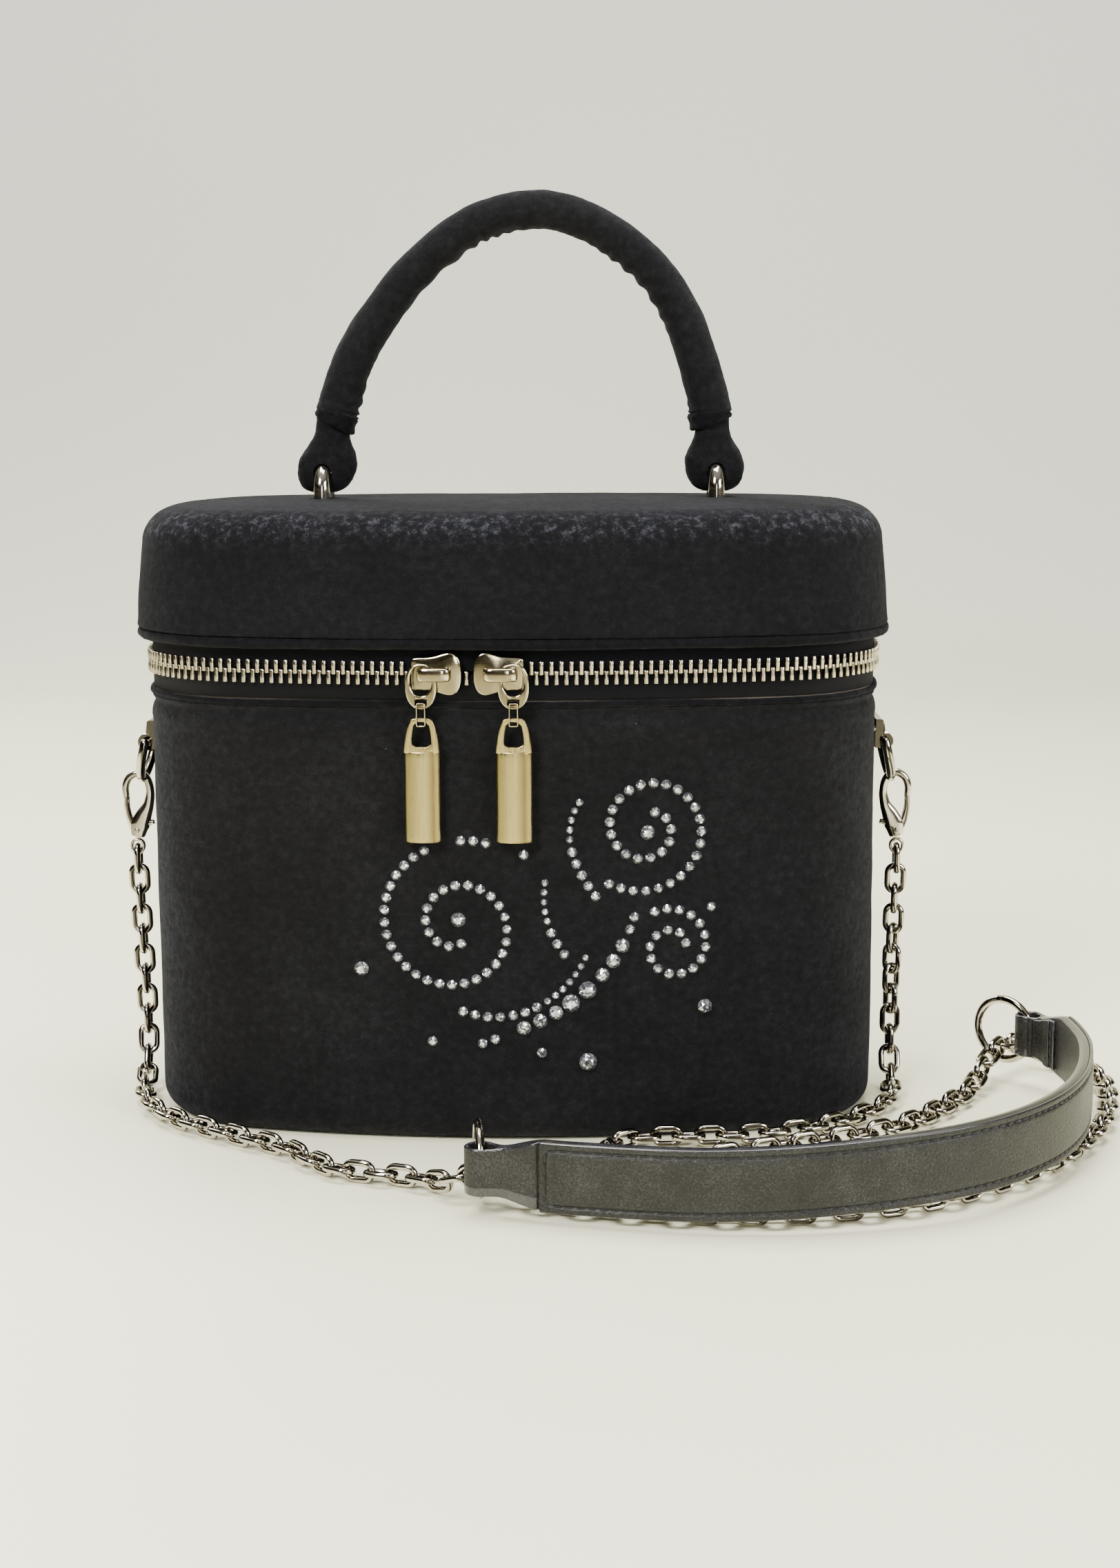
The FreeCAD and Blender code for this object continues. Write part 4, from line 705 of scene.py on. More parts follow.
def lid_cover():
    ring = outline(520)
    profile = lid_profile()
    top, edge = profile[-1]
    outer = []
    for level, out in profile:
        upward = clamp((level - 157) / 8)  # the swell turns from outward to upward
        row = []
        for (x, y, z), (_, _, out_x, out_y) in zip(row_at(ring, level, out), ring):
            swell = padding(x, y, z) + 0.06 * noise_at(x, y, z, 0.5)
            sideways = swell * (1 - upward)
            row.append((x + out_x * sideways, y + out_y * sideways, z + swell * upward * 0.55))
        outer.append(row)
    for scale in (0.86, 0.7, 0.54, 0.38, 0.22, 0.09):  # crown
        outer.append([(x, y, z + 0.06 + padding(x, y, z) * 0.55)
                      for x, y, z in row_at(ring, top, edge, scale=scale)])
    inner = []
    for z, out in profile:
        level = z - (0.0 if z < 156 else 0.9 * min(1, (z - 156) / 5))
        inset = out - 1.05 + 0.8 * clamp((z - 160) / 5)
        inner.append(row_at(ring, level - (0.35 if level > 164.2 else 0.0), inset))
    inner += [row_at(ring, top - 1.3, edge, scale=scale) for scale in (0.6, 0.25)]
    return thick_cap("velvet_lid", outer, top + 0.1, inner, top - 1.3, VELVET_LID_SHADE_AND_HIGHLIGHT)


finish(lid_cover(), "lid", "velvet", "lid_cover")

# ------------------------------------------------------------------ handle
# Centre line (x, z), left end to right end
HANDLE_PATH = [
    (-48.2, 188.2), (-47.3, 191.0), (-45.3, 197.5), (-42.2, 205.1), (-36.0, 214.8),
    (-26.8, 226.2), (-14.1, 236.6), (-4.5, 241.0), (5.9, 242.7), (13.9, 241.9), (22.2, 238.6),
    (31.0, 233.0), (39.0, 225.6), (44.8, 216.6), (48.9, 207.0), (52.0, 196.4), (53.4, 190.6),
    (53.8, 188.2)]
handle_line = spline([(x, 0, z) for x, z in HANDLE_PATH], 14)


def handle_radius(along, angle):
    """Swollen ends, gathers on one side of the bend and gentle lumps."""
    end = min(along, 1 - along)
    cos, sin = math.cos(angle), math.sin(angle)
    radius = 5.15 + 0.75 * max(0.0, 1 - end / 0.30)
    gather = math.sin(along * 235 + 2.0 * math.sin(along * 31))
    depth = 0.45 + 0.55 * math.sin(along * 19 + 1)
    radius += 0.40 * max(0.0, -sin) * gather * depth
    radius += 0.24 * noise_at(along * 26, cos * 0.9, sin * 0.9)
    radius += 0.10 * noise_at(along * 90, cos * 2.2, sin * 2.2 + 9)
    if end < 0.012:
        radius *= 0.93 + 0.07 * end / 0.012
    return radius


def cuff(name, start, direction, start_radius=5.55, end_radius=5.75, length=4.6):
    """Rough wrapping where the handle meets a tab, with a frayed rim."""
    direction = direction / np.linalg.norm(direction)
    seed = start[0]

    def radius(along, angle):
        cos, sin = math.cos(angle), math.sin(angle)
        size = start_radius + (end_radius - start_radius) * along
        size += 0.45 * noise_at(cos * 1.3 + seed, sin * 1.3, along * 2.0)
        if along < 0.45:  # ragged, turned-out rim
            fray = 0.35 + 0.75 * max(-0.3, noise_at(cos * 3.2, sin * 3.2 + seed, 3.0))
            fray += 0.5 * max(0, noise_at(cos * 9, sin * 9, 7.0))
            size += (1 - along / 0.45) * fray
        return size if 0.02 < along < 0.98 else size * 0.9

    points = [start + direction * length * k / 8 for k in range(9)]
    return tube(name, points, radius, VELVET_TRIM, sides=72)


finish(tube("velvet_handle", handle_line, handle_radius, VELVET, sides=40),
       "handle", "velvet", "handle_cover")
for side, end, step in (("left", 0, 1), ("right", -1, -1)):
    inward = handle_line[end + 5 * step] - handle_line[end]
    span = np.linalg.norm(inward)
    finish(cuff("cuff_" + side, handle_line[end] - inward / span * 2.6,
                inward + np.array([0.22 * step, 0.0, 0.0]) * span), "handle", "velvet")

# Tear-drop tab: z, half width, half depth
TAB_STATIONS = [
    (167.6, 3.3, 1.5), (168.3, 5.2, 2.6), (169.4, 6.5, 3.4), (171.0, 7.4, 3.9),
    (173.0, 7.95, 4.1), (175.0, 8.1, 4.2), (176.8, 7.8, 4.2), (178.6, 7.05, 4.1),
    (180.4, 6.0, 3.95), (182.2, 5.05, 3.9), (184.2, 4.65, 4.0), (186.4, 4.7, 4.2),
    (189.2, 4.9, 4.4)]


def handle_tab(name, staple_x, top_x):
    """Pillow-shaped tab with a tunnel for the staple's arch."""
    station_z, widths, depths = zip(*TAB_STATIONS)
    rows = []
    for z in np.linspace(station_z[0], station_z[-1], 40):
        width, depth = np.interp(z, station_z, widths), np.interp(z, station_z, depths)
        centre = staple_x + (top_x - staple_x) * clamp((z - 168.4) / 19.0) ** 1.1
        row = []
        for cos, sin in turn(56):
            x, y = signed_power(cos, 0.82) * width, signed_power(sin, 0.82) * depth
            uneven = 1 + 0.035 * noise_at(x, y, z, 0.4)
            row.append((centre + x * uneven, y * uneven, z))
        rows.append(row)
    tab = Solid().loft(rows).make(name, VELVET)
    fix_normals(tab)
    bpy.ops.mesh.primitive_torus_add(
        major_radius=STAPLE_R * MM, minor_radius=EYELET_R * MM, major_segments=64,
        minor_segments=24, location=(staple_x * MM, 0, STAPLE_Z * MM),
        rotation=(0, math.pi / 2, 0))
    cut_away(tab, bpy.context.object, VELVET)
    return tab


for side, staple_x, top_x in STAPLES:
    attach(handle_tab("velvet_tab_" + side, staple_x, top_x),
           "handle", "velvet", "handle_tab_" + side)


# ------------------------------------------------------------------ chain and zip teeth
def islands(node_name):
    """Distinct points in mm of each connected part of a frame node."""
    mesh = NODES[node_name].data
    coords = np.zeros(len(mesh.vertices) * 3, np.float32)
    mesh.vertices.foreach_get("co", coords)
    coords = coords.reshape(-1, 3).astype(float) * 1000.0
    first_at = {}
    parent = [first_at.setdefault(tuple(point), i)
              for i, point in enumerate(np.round(coords, 3))]

    def find(i):
        while parent[i] != i:
            parent[i] = parent[parent[i]]
            i = parent[i]
        return i

    edges = np.zeros(len(mesh.edges) * 2, int)
    mesh.edges.foreach_get("vertices", edges)
    for start, end in edges.reshape(-1, 2):
        start, end = find(int(start)), find(int(end))
        if start != end:
            parent[start] = end
    groups = {}
    for i in range(len(coords)):
        groups.setdefault(find(i), []).append(i)
    return [np.unique(np.round(coords[group], 3), axis=0) for group in groups.values()]


def chain_link(solid, points, half_straight=1.55, bow=2.25, wire=0.85):
    """Oval cable link on the main axes of the points, its wire slightly flat outside."""
    mean = points.mean(0)
    _, vectors = np.linalg.eigh(np.cov((points - mean).T))
    axes = [vectors[:, 2], vectors[:, 1], vectors[:, 0]]
    centre = mean.copy()
    for axis in axes:
        reach = (points - mean) @ axis
        centre += axis * (reach.max() + reach.min()) / 2
    along, across = axes[0], axes[1]
    through = np.cross(along, across)
    rows = []
    for end in (1, -1):
        for k in range(11):
            angle = -end * math.pi / 2 + math.pi * k / 10
            out_x, out_y = math.cos(angle), math.sin(angle)
            row = []
            for cos, sin in turn(12):
                radius = wire * (1.0 - 0.07 * max(0.0, cos) ** 4)
                spread = bow + radius * cos
                row.append(centre + along * (end * half_straight + out_x * spread)
                           + across * (out_y * spread) + through * (radius * sin))
            rows.append(row)
    solid.loft(rows, loop=True)


for part in ("left_drop", "left_floor", "pad_run", "right_floor", "right_drop"):
    links = Solid()
    for points in islands("chain_" + part):
        chain_link(links, points)
    finish(links.make("links_" + part, NICKEL), "bag", "nickel", "chain_" + part)

# Waisted leg and rounded head: distance from the tape, half width along, half depth across
TOOTH = [(0.0, 0.50, 0.62), (0.12, 0.56, 0.70), (1.55, 0.55, 0.70), (2.2, 0.47, 0.62),
         (2.75, 0.50, 0.56), (3.25, 0.56, 0.54), (3.5, 0.46, 0.42), (3.56, 0.34, 0.28)]
stations = outline(720)


def zip_tooth(solid, points, up):
    """Cast tooth at the points' place, turned to face out of the nearest outline station."""
    mid = (points.min(0) + points.max(0)) / 2
    foot = points[:, 2].min() if up > 0 else points[:, 2].max()
    out_x, out_y = min(stations,
                       key=lambda spot: (spot[0] - mid[0]) ** 2 + (spot[1] - mid[1]) ** 2)[2:]
    outward, along = np.array([out_x, out_y, 0.0]), np.array([-out_y, out_x, 0.0])
    base = np.array([mid[0], mid[1], foot])
    solid.loft([[base + along * (signed_power(cos, 0.55) * width)
                 + outward * (signed_power(sin, 0.55) * depth) + np.array([0, 0, z * up])
                 for cos, sin in turn(12, 0.5)] for z, width, depth in TOOTH])


for half, up, body in (("lower", 1, "bag"), ("upper", -1, "lid")):
    teeth = Solid()
    for points in islands("zip_teeth_" + half):
        zip_tooth(teeth, points, up)
    finish(teeth.make("teeth_" + half, TEETH), body, "pale_gold", "zip_teeth_" + half)


# ------------------------------------------------------------------ zip tapes and hinge
# Corded edge of a tape: distance back from the bead, out
TAPE_BEAD = [(0.9, -0.62), (0.6, -0.56), (0.2, -0.50), (0.0, -0.62), (0.0, -1.05),
             (0.2, -1.2), (0.8, -1.16)]


def zip_tape(half, body, sewn, bead):
    """Woven tape from its sewn edge to the corded edge at the teeth."""
    up = 1 if bead > sewn else -1
    gap = TAPE_GAP / PERIMETER
    ring = outline_part(620, -0.5 + gap, 0.5 - gap)
    profile = [(sewn, -0.64)] + [(bead - up * back, out) for back, out in TAPE_BEAD]
    profile.append((sewn, -1.16))
    rows = []
    for level, out in profile:
        rows.append([(x, y, z + 0.03 * noise_at(spot[0], spot[1], z, 0.3))
                     for (x, y, z), spot in zip(row_at(ring, level, out), ring)])
    finish(ribbon("tape_" + half, rows, TAPE), body, "zip_tape", "zip_tape_" + half)


zip_tape("lower", "bag", sewn=116.9, bead=123.5)
zip_tape("upper", "lid", sewn=133.6, bead=124.5)


def hinge_cloth(half_length=43.8):
    """Creased cloth at the back, between the body and the lid."""
    reach = half_length / PERIMETER
    ring = outline_part(120, 0.5 - reach, 0.5 + reach)
    levels = list(np.linspace(116.6, 132.6, 34))
    rows = []
    for z in levels:
        creased = 118 < z < 131
        rows.append(row_at(ring, z, -0.55, lambda x, y: (
            0.10 * math.sin((z - 116) * 2.4) + 0.12 * noise_at(x, y, z, 0.2)
            if creased else 0)))
    rows += [row_at(ring, z, -1.15) for z in reversed(levels)]
    obj = ribbon("hinge_cloth", rows, VELVET_TRIM)
    fix_normals(obj)
    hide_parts("hinge_gusset")
    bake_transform(obj)


hinge_cloth()

# ------------------------------------------------------------------ linings
LINING_OUTER, LINING_INNER, LINING_FOOT = -3.75, -4.5, 4.4


def lining_ripple(x, y, z, out):
    """Slight slack, and a bulge over each keeper plate at the sides."""
    if out > -3.9:
        return 0.0
    bulge = 0.0
    if abs(x) > 80 and abs(y) < 12 and 95 < z < 109:
        bulge = -2.2 * math.exp(-((y / 8.0) ** 4)) * math.exp(-(((z - 102.6) / 4.8) ** 4))
    return bulge + 0.12 * noise_at(x, y, z, 0.05) * min(1, (z - LINING_FOOT) / 10)


def pocket():
    """Slip pocket on the back wall."""
    reach = 47.5 / PERIMETER
    ring = outline_part(90, 0.5 - reach, 0.5 + reach)
    profile = [(42.1, -5.0)]
    profile += [(z, -5.35 - 0.35 * math.sin(math.pi * (z - 42) / 50))
                for z in np.linspace(45, 89.5, 20)]
    profile += [(91.6, -5.55), (92.1, -5.2), (91.6, -4.95)]
    profile += [(z, -4.72) for z in (80, 60, 44)]
    rows = [row_at(ring, z, out, lambda x, y: (
        -0.1 * noise_at(x, y, z, 0.12) if out < -5.3 else 0)) for z, out in profile]
    return ribbon("pocket_inside", rows, LINING)


def lid_lining():
    ring = outline(300)
    outside = [(131.1, -2.62), (136, -3.0), (144, -3.7), (152, -4.35), (156.4, -4.75),
               (158.6, -6.2), (159.7, -9.5), (160.15, -16), (160.3, -29.5)]  # z, out
    top, edge = outside[-1]
    under = 159.6
    outer = [row_at(ring, z, out) for z, out in outside]
    outer += [row_at(ring, top, edge, scale=scale) for scale in (0.66, 0.33)]
    inner = []
    for z, out in outside:
        level = z - (0.0 if z < 152 else 0.65 * min(1, (z - 152) / 6))
        inner.append(row_at(ring, level, out - 0.7 * (1 - clamp((z - 156) / 4)),
                            lambda x, y: 0.15 * noise_at(x, y, level, 0.06)))
    for scale in (0.82, 0.66, 0.5, 0.33, 0.16):
        inner.append([(x, y, z + 0.12 * noise_at(x, y, 0, 0.06))
                      for x, y, z in row_at(ring, under, edge, scale=scale)])

    def cover_plates(x, y, z):
        """Lower the cloth in a soft bump over each staple plate."""
        bump = 0.0
        if 157.5 < z < 160.2:
            for _, staple_x, _ in STAPLES:
                bump = max(bump, math.exp(-(((x - staple_x) / 10.5) ** 4))
                           * math.exp(-((y / 15.5) ** 4)))
        return x, y, z - 4.4 * bump

    inner = [[cover_plates(*point) for point in row] for row in inner]
    return thick_cap("lining_lid", outer, top, inner, cover_plates(0, 0, under)[2], LINING)


lining_profile = [(float(z), LINING_INNER) for z in np.linspace(LINING_FOOT, 116.6, 40)]
lining_profile += [(117.3, -4.35), (117.5, -4.0), (117.2, -3.76)]
lining_profile += [(float(z), LINING_OUTER) for z in np.linspace(114, LINING_FOOT, 8)]
finish(shell("lining_body", lining_profile, 300, LINING, lining_ripple),
       "bag", "lining", "body_lining")
finish(cap_plate("lining_base", 3.56, 4.3, -4.6, LINING, lambda x, y, scale: (
    0.0 if scale > 0.98 else 0.08 * noise_at(x, y, 0, 0.06))), "bag", "lining", "base_lining")
finish(pocket(), "bag", "lining", "slip_pocket")
finish(lid_lining(), "lid", "lining", "lid_lining")


# ------------------------------------------------------------------ plates on the front
def front_axes(angle):
    """Directions along and out of the front arc at an angle from its centre."""
    cos, sin = math.cos(angle), math.sin(angle)
    return np.array([cos, sin, 0.0]), np.array([sin, -cos, 0.0])


def front_place(degrees):
    """Function that puts (x along, out, z) on the front arc."""
    along, outward = front_axes(math.radians(degrees))
    origin = np.array([0, FRONT_CY, 0.0]) + FRONT_R * outward
    return lambda x, out, z: origin + along * x + outward * out + np.array([0, 0, z])


def resample(points, count):
    """Evenly spaced points round a closed polygon."""
    closed = np.array(points + [points[0]], float)
    lengths = run_lengths(closed)
    return [(float(np.interp(s, lengths, closed[:, 0])), float(np.interp(s, lengths, closed[:, 1])))
            for s in np.linspace(0, lengths[-1], count, endpoint=False)]


def soften(points, passes):
    """Cut the corners of a closed polygon."""
    corners = [np.array(point, float) for point in points]
    for _ in range(passes):
        cut = []
        for start, end in zip(corners, corners[1:] + corners[:1]):
            cut += [start * 0.75 + end * 0.25, start * 0.25 + end * 0.75]
        corners = cut
    return [tuple(point) for point in corners]


def cross(first, second):
    return first[0] * second[1] - first[1] * second[0]


def grow(points, amount):
    """Move a closed outline outwards, or inwards when the amount is negative."""
    ring = np.array(points)
    count = len(ring)
    area = sum(cross(ring[i], ring[(i + 1) % count]) for i in range(count))
    amount = amount if area > 0 else -amount
    moved = []
    for i in range(count):
        chord = ring[(i + 1) % count] - ring[i - 1]
        length = np.linalg.norm(chord) or 1
        moved.append((ring[i][0] + chord[1] / length * amount,
                      ring[i][1] - chord[0] / length * amount))
    return moved


def place_row(place, points, out):
    return [place(x, out, z) for x, z in points]


def pillow(solid, place, points, layers):
    """Layered plate; layers are (out, inset)."""
    solid.loft([place_row(place, grow(points, -inset), out) for out, inset in layers])


def dome(solid, place, points, back, front, crown, radius, steps=7):
    """Plate with a rounded rim and a softly crowned face."""
    centre_x, centre_z = np.array(points).mean(0)
    rows = [place_row(place, grow(points, -0.08), back),
            place_row(place, points, back + 0.1),
            place_row(place, points, front - radius)]
    for k in range(1, 4):
        angle = math.pi / 2 * k / 3
        rows.append(place_row(place, grow(points, -radius * (1 - math.cos(angle))),
                              front - radius + radius * math.sin(angle)))
    face = grow(points, -radius)
    for k in range(1, steps + 1):
        scale = 1 - k / steps * 0.97
        rows.append([place(centre_x + (x - centre_x) * scale, front + crown * (1 - scale ** 2),
                           centre_z + (z - centre_z) * scale) for x, z in face])
    solid.loft(rows)


def ring_plate(solid, place, outer, inner, back, front, radius):
    """Flat ring between two outlines, with all edges rounded."""
    quarter = [math.pi / 2 * k / 4 for k in range(5)]
    section = [(back + radius - radius * math.cos(angle), radius - radius * math.sin(angle))
               for angle in quarter]
    section += [(front - radius + radius * math.sin(angle), radius - radius * math.cos(angle))
                for angle in quarter]
    rows = [place_row(place, grow(outer, -inset), out) for out, inset in section]
    rows += [place_row(place, grow(inner, inset), out) for out, inset in reversed(section)]
    solid.loft(rows, loop=True)


# ------------------------------------------------------------------ zip sliders and pulls
# Lower half of the slider outline (x, z) from its narrow end to its wide end
SLIDER_HALF = [(-6.4, -3.6), (-6.0, -4.2), (-1.0, -4.3), (1.6, -5.2), (3.6, -5.6),
               (5.2, -4.9), (6.2, -3.0), (6.4, 0)]
SKIRT = [(1.1, 0.0), (0.2, 0.05), (-0.15, 0.12), (-0.28, 0.35), (-0.2, 0.62), (0.15, 0.75),
         (1.1, 0.78)]                                         # out, inset
SLIDER_REAR = [(-2.22, 0.4), (-2.14, 0.14), (-1.95, 0.0), (-1.75, 0.0), (-1.58, 0.1),
               (-1.52, 0.3)]                                  # out, inset
PULL_SHIFT = 3.8                     # the pull hangs this far towards the narrow end


def saddle_line(centre, half_length, power, base, rise):
    """(x, out) along an arch over the slider."""
    angles = [math.pi * k / 24 for k in range(25)]
    return [(centre - half_length * signed_power(math.cos(angle), power),
             base + rise * abs(math.sin(angle)) ** power) for angle in angles]


def zip_slider(side, hand, place):
    """Crowned front plate with rolled skirts, a rear plate and an arched saddle."""
    slider = Solid()
    corners = [(x * hand, z) for x, z in SLIDER_HALF]
    corners += [(x * hand, -z) for x, z in reversed(SLIDER_HALF[:-1])]
    plate = [(x, z + ZIP_Z) for x, z in resample(soften(corners, 2), 72)]
    dome(slider, place, plate, back=1.0, front=2.15, crown=0.42, radius=0.45)
    edge_x, edge_z = zip(*SLIDER_HALF[:6])
    for up in (-1, 1):  # skirts stop short of the ends, where the zip runs through
        slider.loft([[place(x * hand, out,
                            ZIP_Z + up * (abs(np.interp(x, edge_x, edge_z)) - 0.06 - inset))
                      for out, inset in SKIRT] for x in np.linspace(-5.9, 5.2, 26)])
    pillow(slider, place, grow(plate, -0.15), SLIDER_REAR)
    top = saddle_line(-0.5 * hand, 4.4, power=0.52, base=2.2, rise=3.2)
    under = saddle_line(-0.5 * hand, 4.4 - 1.25, power=0.42, base=2.25, rise=1.98)
    rows = []
    for (top_x, top_out), (low_x, low_out) in zip(top, under):
        row = []
        for cos, sin in turn(12, 0.5):
            blend = (1 + signed_power(cos, 0.62)) / 2  # 1 on top, 0 underneath
            row.append(place(low_x + (top_x - low_x) * blend,
                             low_out + (top_out - low_out) * blend,
                             ZIP_Z + 1.72 * signed_power(sin, 0.62)))
        rows.append(row)
    slider.loft(rows)
    finish(slider.make("zip_slider_" + side, GOLD),
           "slider_%s_body" % side, "pale_gold", "slider_" + side)


def egg(width, low_width, height, mid_z):
    """Squared oval whose half width runs from width to low_width in its lower half."""
    points = []
    for cos, sin in turn(72):
        half = width if sin > 0 else width + (low_width - width) * sin * sin
        points.append((half * signed_power(cos, 0.8), mid_z + height * signed_power(sin, 0.8)))
    return points


def pull_loop(side, place):
    """Thin oval loop that swells into a solid crescent with a slot."""
    loop = Solid()
    ring_plate(loop, place, egg(3.98, 3.45, 5.82, 120.95), egg(2.75, 2.3, 3.75, 122.35),
               back=2.7, front=3.9, radius=0.42)
    obj = loop.make("pull_loop_" + side, GOLD)
    fix_normals(obj)
    slot = Solid()
    corners = [(-1.55, 116.2), (1.55, 116.2), (1.55, 117.7), (-1.55, 117.7)]
    pillow(slot, place, resample(corners, 24), [(1.5, 0.0), (5.5, 0.0)])
    cutter = slot.make("slot_cutter", GOLD, smooth=False)
    fix_normals(cutter)
    cut_away(obj, cutter, GOLD)
    obj.modifiers.new("ws", "WEIGHTED_NORMAL")
    finish(obj, "pull_eye_%s_body" % side, "pale_gold", "pull_eye_" + side)


def connector(side, place):
    """Small rectangular link between the loop and the bar."""
    rows = []
    for i, (corner_x, corner_z) in enumerate(
            ((0.78, 116.28), (-0.78, 116.28), (-0.78, 111.42), (0.78, 111.42))):
        for k in range(7):
            angle = math.radians(90 * i + 90 * k / 6)
            out_x, out_z = math.cos(angle), math.sin(angle)
            rows.append([place(corner_x + out_x * (0.27 + 0.25 * cos),
                               3.3 + 1.62 * signed_power(sin, 0.6),
                               corner_z + out_z * (0.44 + 0.27 * cos))
                         for cos, sin in turn(12)])
    finish(Solid().loft(rows, loop=True).make("connector_" + side, GOLD),
           "pull_link_%s_body" % side, "pale_gold", "pull_link_" + side)


def ray_outline(corners, count, centre):
    """Points where evenly turned rays from the centre leave a polygon."""
    closed = np.array(corners + [corners[0]])
    points = []
    for ray in turn(count):
        reach = 0.0
        for start, end in zip(closed, closed[1:]):
            edge, offset = end - start, start - centre
            slant = cross(ray, edge)
            if abs(slant) < 1e-9:
                continue
            if -1e-6 <= cross(offset, ray) / slant <= 1 + 1e-6:
                reach = max(reach, cross(offset, edge) / slant)
        points.append(tuple(centre + np.array(ray) * reach))
    return points


# Head of the pull bar and its window (x, z)
BAR_HEAD = [(-4.5, 103.6), (4.5, 103.6), (4.6, 104.8), (3.95, 109.4), (3.05, 112.1),
            (2.2, 113.0), (-2.2, 113.0), (-3.05, 112.1), (-3.95, 109.4), (-4.6, 104.8)]
BAR_WINDOW = [(-2.5, 105.6), (2.5, 105.6), (2.45, 108.4), (1.8, 111.9), (-1.8, 111.9),
              (-2.45, 108.4)]
# Weight of the pull bar: z, section scale
BAR_STATIONS = [(80.82, 0.86), (80.9, 0.93), (81.15, 0.98), (81.6, 1.0), (82.5, 1.0)]
BAR_STATIONS += [(z, 1.0) for z in np.linspace(84, 102.5, 14)]
BAR_STATIONS += [(103.6, 1.0), (104.1, 0.97), (104.35, 0.9), (104.45, 0.8)]
BAR_HALF_WIDTH = 4.6


def pull_bar(side, place):
    """Framed window above a brushed half-round weight."""
    bar = Solid()
    centre = np.array([0.0, 108.6])
    head, window = [ray_outline(soften(shape, 1), 96, centre)
                    for shape in (BAR_HEAD, BAR_WINDOW)]
    ring_plate(bar, place, head, window, back=2.55, front=4.05, radius=0.35)
    rows = []
    for z, scale in BAR_STATIONS:
        half = BAR_HALF_WIDTH * (1 - (1 - scale) * 0.35)
        row = []
        for k in range(28):  # round front
            angle = math.pi * k / 27
            out = 2.35 + 2.42 * math.sin(angle) ** 0.92
            row.append(place(half * math.cos(angle), 3.0 + (out - 3.0) * scale, z))
        for k in range(9):   # flat back with eased sides
            across = -1 + 2 * (k + 0.5) / 9
            row.append(place(across * half, 1.82 + (0.35 if abs(across) > 0.85 else 0), z))
        rows.append(row)
    bar.loft(rows)
    finish(bar.make("pull_tab_" + side, SATIN),
           "pull_bar_%s_body" % side, "satin_gold", "pull_bar_" + side)


# Side, angle in degrees along the front arc, hand; the wide ends face each other
for side, degrees, hand in (("left", -3.363, 1), ("right", -0.363, -1)):
    place = front_place(degrees)

    def hang(x, out, z):
        return place(x - PULL_SHIFT * hand, out, z)

    zip_slider(side, hand, place)
    pull_loop(side, hang)
    connector(side, hang)
    pull_bar(side, hang)


# ------------------------------------------------------------------ nickel hardware
def staple(side, x):
    """Polished wire arch standing across the lid."""
    legs = np.linspace(156.3, 167.5, 8)
    points = [np.array([x, -STAPLE_R, z]) for z in legs]
    for k in range(31):
        angle = math.pi - math.pi * k / 30
        points.append(np.array([x, STAPLE_R * math.cos(angle),
                                STAPLE_Z + STAPLE_R * math.sin(angle)]))
    points += [np.array([x, STAPLE_R, z]) for z in reversed(legs)]
    node = "handle_staple_" + side
    finish(tube("staple_" + side, points,
                lambda along, angle: STAPLE_WIRE if 0.01 < along < 0.99 else 1.7,
                NICKEL_WIRE, sides=28, up=(1, 0, 0)), BODY_OF[node], "nickel", node)


def pad_ring(side, end, direction, radius=8.65, wire=1.13):
    """Upright round ring at an end of the pad, with a visible butt joint."""
    across = np.array([*direction, 0.0])
    centre = np.array(end) + across * 8.03 + np.array([0, 0, PAD_HALF])
    upward = np.array([0, 0, 1.0])
    through = np.cross(across, upward)
    rows = []
    for k, (cos, sin) in enumerate(turn(96)):
        spoke = across * cos + upward * sin
        thick = wire * (0.90 if k == 22 else 1.0)
        rows.append([centre + spoke * (radius + thick * wire_cos) + through * (thick * wire_sin)
                     for wire_cos, wire_sin in turn(16)])
    finish(Solid().loft(rows, loop=True).make("o_ring_" + side, NICKEL),
           "pad_ring_%s_body" % side, "nickel", "pad_ring_" + side)


for side, staple_x, _ in STAPLES:
    staple(side, staple_x)
pad_ring("left", PAD_PATH[0], (-0.1, 0.995))
pad_ring("right", PAD_PATH[-1], (-0.75, 0.6614))

# Lobster clasp branches of the right side: x, z, radius in the XZ plane, radius across it
# Hook, from the gate side of the mouth over the top and down into the stem
CLASP_HOOK = [
    (109.05, 83.0, 0.85, 1.25), (109.25, 85.8, 1.0, 1.35), (108.2, 88.4, 1.05, 1.4),
    (105.6, 89.75, 1.12, 1.45), (103.35, 88.2, 1.12, 1.45), (102.4, 84.8, 1.1, 1.45),
    (102.95, 80.9, 1.45, 1.5), (104.35, 77.9, 2.25, 1.5), (105.6, 74.9, 2.75, 1.5),
    (106.2, 71.8, 1.9, 1.15)]
CLASP_GATE = [(109.0, 83.2, 0.78, 1.25), (109.05, 80.2, 0.85, 1.25), (108.5, 77.0, 1.0, 1.0),
              (107.5, 74.3, 1.0, 0.6)]
CLASP_THUMB = [(107.2, 74.1, 0.9, 0.58), (104.9, 74.7, 0.85, 0.62), (102.8, 75.6, 0.8, 0.85),
               (101.5, 75.9, 0.62, 1.0)]
PIN_HEAD = [(0.02, 0.28), (0.35, 0.26), (0.6, 0.15), (0.68, 0.0)]   # radius, height


